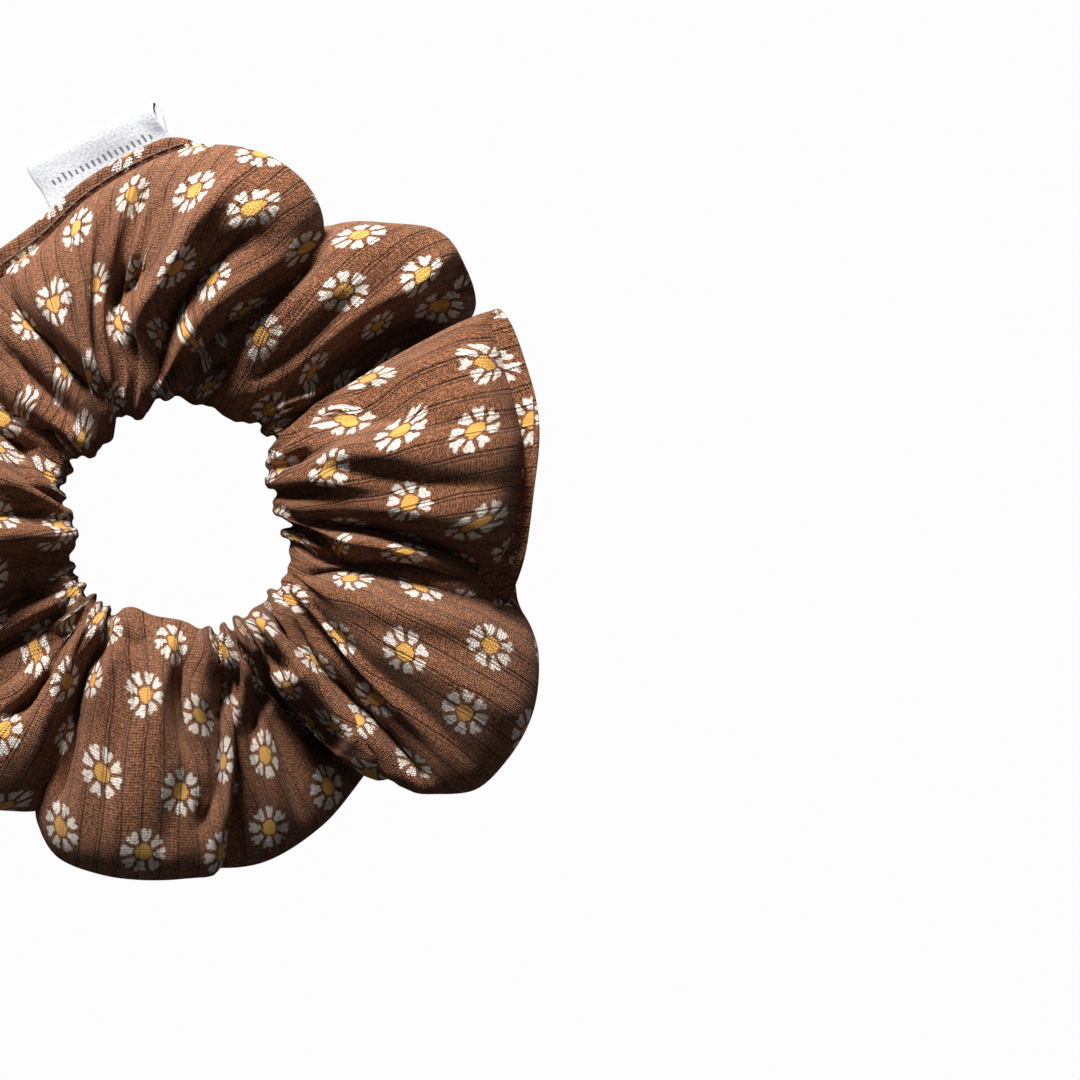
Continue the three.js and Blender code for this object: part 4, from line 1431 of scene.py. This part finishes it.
    def close_pairs(self, cloth: np.ndarray) -> tuple[np.ndarray, np.ndarray]:
        """Finds pairs of points that are near in space and far apart along the cloth.

        Args:
            cloth: the strip's points.

        Returns:
            The number of each pair's first point, and of its second.
        """
        columns, rows = cloth.shape[:2]
        flat = cloth.reshape(-1, 3)
        cell = self.thickness * self.search_margin
        spot = np.floor((flat - flat.min(0)) / cell).astype(np.int64) + 1
        size = spot.max(0) + 2
        key = (spot[:, 0] * size[1] + spot[:, 1]) * size[2] + spot[:, 2]
        order = np.argsort(key, kind="stable")
        ordered = key[order]
        near = (-1, 0, 1)
        found = []
        for x, y, z in [(x, y, z) for x in near for y in near for z in near if (x, y, z) >= (0, 0, 0)]:
            wanted = key + (x * size[1] + y) * size[2] + z
            low = np.searchsorted(ordered, wanted, "left")
            count = np.searchsorted(ordered, wanted, "right") - low
            one = np.repeat(np.arange(len(key)), count)
            within = np.arange(count.sum()) - np.repeat(np.cumsum(count) - count, count)
            found.append(np.stack([one, order[np.repeat(low, count) + within]]))
        one, two = np.concatenate(found, 1)
        along = np.abs(one // rows - two // rows)
        along = np.minimum(along, columns - along)
        apart = (along > self.neighbours) | (np.abs(one % rows - two % rows) > self.neighbours)
        one, two = one[apart], two[apart]
        close = np.linalg.norm(flat[one] - flat[two], axis=1) < cell
        return one[close], two[close]

    def push_apart(self, cloth: np.ndarray, pairs: tuple[np.ndarray, np.ndarray]) -> None:
        """Moves touching layers apart.

        Args:
            cloth: the strip's points, which it moves.
            pairs: the pairs of points that are close.
        """
        one, two = pairs
        flat = cloth.reshape(-1, 3)
        gap = flat[one] - flat[two]
        length = np.linalg.norm(gap, axis=1) + TINY
        move = gap * (np.clip(self.thickness - length, 0, None) / length * self.push)[:, None]
        for axis in range(3):
            shift = np.bincount(one, move[:, axis], len(flat)) - np.bincount(two, move[:, axis], len(flat))
            flat[:, axis] += np.clip(shift, -self.push_limit, self.push_limit)


def link_mesh(name: str, mesh: bpy.types.Mesh) -> bpy.types.Object:
    """Puts a mesh in the scene.

    Args:
        name: the new object's name.
        mesh: its mesh.

    Returns:
        The new object.
    """
    made = bpy.data.objects.new(name, mesh)
    bpy.context.scene.collection.objects.link(made)
    return made


def grid_mesh(name: str, points: np.ndarray, fabric: np.ndarray) -> bpy.types.Object:
    """Makes a strip's mesh, closed lengthwise, with its place on the flat fabric as a UV map.

    Args:
        name: the new object's name.
        points: the strip's points, by column and row, in millimetres.
        fabric: where each point lies on the flat fabric, with the first column again at the end.

    Returns:
        The new object.
    """
    columns, rows = points.shape[:2]
    first = np.arange(columns)[:, None] * rows + np.arange(rows - 1)[None, :]
    second = np.roll(first, -1, 0)
    quads = np.stack([first, second, second + 1, first + 1], 2).reshape(-1, 4)
    mesh = bpy.data.meshes.new(name)
    mesh.vertices.add(columns * rows)
    mesh.vertices.foreach_set("co", (points * MM).astype(np.float32).ravel())
    mesh.loops.add(quads.size)
    mesh.loops.foreach_set("vertex_index", quads.ravel().astype(np.int32))
    mesh.polygons.add(len(quads))
    mesh.polygons.foreach_set("loop_start", np.arange(0, quads.size, 4, dtype=np.int32))
    mesh.update(calc_edges=True)
    mesh.polygons.foreach_set("use_smooth", np.ones(len(quads), bool))
    layer = mesh.uv_layers.new(name="fabric")
    here, beside = fabric[:-1], fabric[1:]
    corners = [here[:, :-1], beside[:, :-1], beside[:, 1:], here[:, 1:]]
    uv = np.stack(corners, 2).reshape(-1, 2) / UV_SPAN
    layer.data.foreach_set("uv", uv.astype(np.float32).ravel())
    mesh.validate()
    return link_mesh(name, mesh)


def thread_mesh(
    name: str, path: np.ndarray, facing: np.ndarray, radius: float, sides: int = 6
) -> bpy.types.Object:
    """Makes a round thread along a path, with capped ends.

    Args:
        name: the new object's name.
        path: points in millimetres.
        facing: a direction at each point, roughly square to the path.
        radius: the thread's radius, in millimetres.
        sides: how many sides it has.

    Returns:
        The new object.
    """
    way = np.roll(path, -1, 0) - np.roll(path, 1, 0)
    way[0], way[-1] = path[1] - path[0], path[-1] - path[-2]
    way = unit(way)
    side = unit(np.cross(way, facing))
    up = np.cross(side, way)
    turn = np.arange(sides) * FULL_TURN / sides
    ring = np.cos(turn)[None, :, None] * side[:, None] + np.sin(turn)[None, :, None] * up[:, None]
    points = (path[:, None] + radius * ring).reshape(-1, 3)
    total = len(points)
    start = np.arange(len(path) - 1)[:, None] * sides
    here, beside = start + np.arange(sides)[None, :], start + (np.arange(sides)[None, :] + 1) % sides
    quads = np.stack([here, beside, beside + sides, here + sides], 2).reshape(-1, 4)
    caps = [list(range(sides))[::-1], list(range(total - sides, total))]
    mesh = bpy.data.meshes.new(name)
    mesh.from_pydata((points * MM).tolist(), [], quads.tolist() + caps)
    mesh.shade_smooth()
    return link_mesh(name, mesh)


@dataclass
class Stitching:
    """The cover's seams: each has a needle thread and a bobbin thread that lock inside the cloth."""

    cover: GatheredCover
    thread_radius: float = 0.15  # mm
    stitch: float = 2.4  # mm
    spacing: float = 0.3  # mm between points of a thread
    # mm outward of the seam line, mm to each side of the middle of the layers, and mm that a stitch sinks in
    closing_seam: tuple[float, float, float] = (1.15, 0.74, 0.3)
    long_seam: tuple[float, float, float] = (-0.35, 0.12, 0.03)
    closing_reach: int = 150  # columns each way from the middle of the closed gap
    end_clearance: float = 3.0  # mm without thread at each end of the end seam
    end_depth: float = 0.7  # mm inside the cover's wall
    end_spread: float = 0.3  # mm to each side of the end seam
    end_wave: float = 0.12  # mm that its stitches rise and fall

    def build(self) -> list[bpy.types.Object]:
        """Builds every thread and dresses it.

        Returns:
            The threads, each standing for the CAD thread of its name.
        """
        standing = self.cover.stand
        order = np.roll(np.arange(self.cover.columns), -int(np.argmax(standing)))
        closing = np.concatenate([order[-self.closing_reach :], order[: self.closing_reach]])
        closing = closing[standing[closing] > 0.75]
        rim = order[standing[order] < 0.02]
        made = []
        for side, kind in ((1.0, "needle"), (-1.0, "bobbin")):
            made.append(self.rim_seam(f"closing_{kind}_thread", closing, self.closing_seam, side))
            made.append(self.rim_seam(f"long_seam_{kind}_thread", rim, self.long_seam, side))
            made.append(self.end_seam(f"end_seam_{kind}_thread", side))
        brown = SpunThread("brown_core_spun_thread", "#5b3d2e", "#2f1d15").build()
        for thread in made:
            thread.data.materials.append(brown)
        return made

    def rim_seam(
        self, name: str, columns: np.ndarray, place: tuple[float, float, float], side: float
    ) -> bpy.types.Object:
        """One thread along the rim seam.

        Args:
            name: the CAD thread that it stands for.
            columns: the cover's columns that it passes, in order.
            place: how far it lies outward and to its side, and how deep its stitches sink in, in millimetres.
            side: 1 on the upper face, -1 on the lower.

        Returns:
            The thread.
        """
        out, rise, sink = place
        normal = self.cover.edge_normal[columns]
        base = self.cover.seam[columns] + out * self.cover.outward[columns] + side * rise * normal
        run = running_length(base)
        at = np.arange(0, run[-1], self.spacing)
        path, facing = (read_path(run, values, at) for values in (base, normal))
        arch = np.sqrt(np.abs(np.sin(math.pi * at / self.stitch)))
        path += (side * sink * (arch - 0.7))[:, None] * facing
        return self.finish(path, facing, name)

    def end_seam(self, name: str, side: float) -> bpy.types.Object:
        """One thread of the seam that joins the tube's ends, inside the tube.

        Args:
            name: the CAD thread that it stands for.
            side: 1 on one side of the seam, -1 on the other.

        Returns:
            The thread.
        """
        inward = self.cover.inward[0]
        ring = self.cover.walls[0] - self.end_depth * inward
        run = running_length(ring)
        at = np.arange(self.end_clearance, run[-1] - self.end_clearance, self.spacing)
        path, facing = (read_path(run, values, at) for values in (ring, inward))
        way = unit(np.gradient(path, axis=0), guard=0)
        path += self.end_spread * side * np.cross(way, facing)
        path += (self.end_wave * np.cos(FULL_TURN * at / self.stitch))[:, None] * facing
        return self.finish(path, facing, name)

    def finish(self, path: np.ndarray, facing: np.ndarray, name: str) -> bpy.types.Object:
        """Makes a thread and puts it on the cover in place of its CAD node.

        Args:
            path: its points about the ring's axis, in millimetres.
            facing: a direction at each point, roughly square to the path.
            name: the CAD thread that it stands for.

        Returns:
            The thread.
        """
        made = thread_mesh(name + "_run", path + np.array(self.cover.centre), facing, self.thread_radius)
        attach(made, "cover")
        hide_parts(name)
        return made


@dataclass
class RibbonTag:
    """The satin ribbon folded into a loop, its ends caught in the closed gap.

    Sizes are in millimetres.
    """

    fold: Vector  # a point of the fold line at the middle of the ribbon, in millimetres
    axis: Vector  # the fold line's direction
    width: float = 21.0
    reach: float = 6.6
    sewn: float = 3.2  # length of ribbon in the seam at each end
    bulge: float = 0.62  # half of the loop's thickness
    slip: float = 0.55  # how far the two plies are out of line
    thickness: float = 0.2
    ripple: float = 0.22  # height of the waves along its free edge
    curl: float = 0.9  # how far the right corner turns up
    bend: tuple[float, float] = (-0.5, 0.7)  # mm out of the fold line
    across_steps: int = 70
    along_steps: int = 90

    def section(self) -> np.ndarray:
        """Gives the ribbon's path as seen along the fold line.

        Returns:
            Distance out of the seam and height, at points spaced evenly from the lower end to the upper.
        """
        half, tip, seam = self.bulge, self.reach - 0.75, 0.11
        path = [(-self.sewn, -seam), (-1.4, -seam), (0, -0.12), (1.5, -0.18), (3.4, -0.7 * half)]
        path += [(5.4, -half), (tip, -half), (self.reach, 0.0), (tip, half), (5.4, 1.05 * half)]
        path += [(3.4, 0.75 * half), (1.5, 0.2), (0, 0.12), (-1.4, seam), (-self.sewn, seam)]
        return resample(open_curve(np.array(path), 240), self.along_steps)

    def build(self) -> bpy.types.Object:
        """Builds the tag and dresses it.

        Returns:
            The ribbon, looped out of the seam from the fold line.
        """
        path = self.section()
        out = Vector((-self.axis.y, self.axis.x, 0.0))
        across = np.linspace(-0.5, 0.5, self.across_steps) * self.width
        run = running_length(path)
        share = run / run[-1]
        free = smoothstep(0.5, 4.5, path[:, 0])
        wave = self.ripple * np.sin(across * 0.42 + 0.7)[:, None] * free[None, :]
        upper = smoothstep(0.42, 0.58, share)
        curl = smoothstep(0.36 * self.width, 0.5 * self.width, across)[:, None] * free[None, :]
        span = across[:, None] + (self.slip * (1 - 2 * upper) * free)[None, :]
        reach = path[None, :, 0] + 0.35 * wave - 0.5 * curl * upper[None, :]
        height = path[None, :, 1] + wave + curl * (self.curl - 0.35 * upper[None, :])
        points = np.array(self.fold) + span[..., None] * np.array(self.axis)
        points = points + reach[..., None] * np.array(out)
        points[..., 2] += height
        made = self.strip(points, across, path[:, 0], share)
        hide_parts("tag_loop", "tag_sewn_end")
        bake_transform(made)
        made.data.materials.append(SatinRibbon().build(self.width))
        return made

    def strip(
        self, points: np.ndarray, across: np.ndarray, out: np.ndarray, share: np.ndarray
    ) -> bpy.types.Object:
        """Makes the ribbon's mesh, gives it its thickness and lays its print out flat.

        Args:
            points: the ribbon's points, across and along it.
            across: each column's place across the ribbon, from its middle.
            out: each row's distance out of the seam.
            share: each row's share of the ribbon's length; the printed face is the second half.

        Returns:
            The ribbon.
        """
        columns, rows = points.shape[:2]
        first = np.arange(columns - 1)[:, None] * rows + np.arange(rows - 1)[None, :]
        quads = np.stack([first, first + rows, first + rows + 1, first + 1], 2).reshape(-1, 4)
        mesh = bpy.data.meshes.new("ribbon_tag")
        mesh.from_pydata((points.reshape(-1, 3) * MM).tolist(), [], quads.tolist())
        mesh.shade_smooth()
        layer = mesh.uv_layers.new(name="ribbon")
        printed = np.where(share > 0.5, out, -10.0)
        places = np.broadcast_arrays((across + self.width / 2)[:, None], printed[None, :])
        flat = np.stack(places, 2).reshape(-1, 2)
        layer.data.foreach_set("uv", (flat[quads.ravel()] / UV_SPAN).astype(np.float32).ravel())
        made = link_mesh("ribbon_tag", mesh)
        bpy.ops.object.select_all(action="DESELECT")
        bpy.context.view_layer.objects.active = made
        made.select_set(True)
        solid = made.modifiers.new("thickness", "SOLIDIFY")
        solid.thickness = self.thickness * MM
        solid.offset = 0
        bpy.ops.object.modifier_apply(modifier=solid.name)
        return made


@dataclass(frozen=True)
class ElasticRing:
    """The elastic inside the cover and the stitches through its lap, which keep their CAD shapes."""

    band: str = "elastic_band"
    threads: tuple[str, ...] = ("elastic_needle_thread", "elastic_bobbin_thread")

    def dress(self) -> None:
        """Gives the CAD nodes their finishes."""
        white = SpunThread("white_core_spun_thread", "#efece6", "#bdb8ad").build()
        finishes = {self.band: BraidedElastic().build()} | {name: white for name in self.threads}
        for name, finish in finishes.items():
            materials = frame["nodes"][name].data.materials
            materials.clear()
            materials.append(finish)


@dataclass(frozen=True)
class Lamp:
    """A square lamp of the studio, aimed at the middle of the table."""

    name: str
    place: tuple[float, float, float]  # m
    energy: float  # W
    size: float  # m

    def build(self) -> None:
        """Hangs the lamp."""
        light = bpy.data.lights.new(self.name, "AREA")
        light.energy = self.energy
        light.size = self.size
        lamp = bpy.data.objects.new(self.name, light)
        lamp.location = self.place
        lamp.rotation_euler = Vector(self.place).to_track_quat("Z", "Y").to_euler()
        bpy.context.scene.collection.objects.link(lamp)


@dataclass(frozen=True)
class Studio:
    """The table, which looks white and throws back a little light, two lamps, and a camera straight above."""

    table_size: float = 4.0  # m
    table_grey: float = 0.3  # what the cloth sees
    table_white: float = 0.98  # what the camera sees
    key: Lamp = Lamp("key", (-0.10, 0.39, 0.26), 8.0, 0.12)
    fill: Lamp = Lamp("fill", (0.3, 0.1, 0.9), 0.7, 0.6)
    ambient: float = 0.06
    lens: float = 222.0  # mm
    aim: tuple[float, float] = (54.3, -3.75)  # mm from the ring's centre
    height: float = 1.02  # m above the table
    far: float = 20.0  # m that the camera sees

    def build(self, centre: Vector) -> None:
        """Sets up the studio.

        Args:
            centre: the ring's centre, in millimetres.
        """
        self.lay_table()
        self.key.build()
        self.fill.build()
        world = bpy.data.worlds.new("world")
        bpy.context.scene.world = world
        world.use_nodes = True
        background = world.node_tree.nodes["Background"]
        background.inputs["Color"].default_value = (1, 1, 1, 1)
        background.inputs["Strength"].default_value = self.ambient
        self.place_camera(centre)

    def lay_table(self) -> None:
        """Lays the table."""
        bpy.ops.mesh.primitive_plane_add(size=self.table_size, location=(0, 0, 0))
        table = bpy.context.object
        table.name = "floor"
        material, shader = new_material("matte_card", {"Base Color": (*[self.table_grey] * 3, 1)})
        tree = material.node_tree
        path = add_node(tree, "LightPath", {}, {}).outputs["Is Camera Ray"]
        glow = add_node(tree, "Emission", {}, {"Color": (*[self.table_white] * 3, 1), "Strength": 1.0})
        both = add_node(tree, "MixShader", {}, {0: path, 1: shader, 2: glow})
        tree.links.new(both.outputs[0], tree.nodes["Material Output"].inputs[0])
        table.data.materials.append(material)

    def place_camera(self, centre: Vector) -> None:
        """Places the camera.

        Args:
            centre: the ring's centre, in millimetres.
        """
        camera = bpy.data.cameras.new("camera")
        camera.lens = self.lens
        camera.clip_end = self.far
        view = bpy.data.objects.new("camera", camera)
        right, up = self.aim
        view.location = ((centre.x + right) * MM, (centre.y + up) * MM, self.height)
        bpy.context.scene.collection.objects.link(view)
        bpy.context.scene.camera = view
        bpy.context.scene.view_settings.view_transform = "Standard"


def ring_centre() -> Vector:
    """The middle of the hole that the record keeps open, on the table, in millimetres."""
    low, high = frame["record"]["physics"]["openings"][0]["box_m"]
    return Vector(((low[0] + high[0]) / 2, (low[1] + high[1]) / 2, 0)) / MM


def main() -> None:
    """Builds and dresses every sub-assembly, then the studio."""
    logging.basicConfig(level=logging.INFO)
    cover = GatheredCover(ring_centre())
    LOG.info("cover: %s", cover.build().name)
    LOG.info("seams: %s", ", ".join(thread.name for thread in Stitching(cover).build()))
    joint = next(joint for joint in frame["joints"] if joint["name"] == "tag_fold")
    tag = RibbonTag(Vector(joint["pos_m"]) / MM, Vector(joint["axis"]).normalized())
    LOG.info("tag: %s", tag.build().name)
    elastic = ElasticRing()
    elastic.dress()
    LOG.info("elastic: %s", ", ".join((elastic.band, *elastic.threads)))
    Studio().build(cover.centre)


if __name__ == "__main__":
    main()
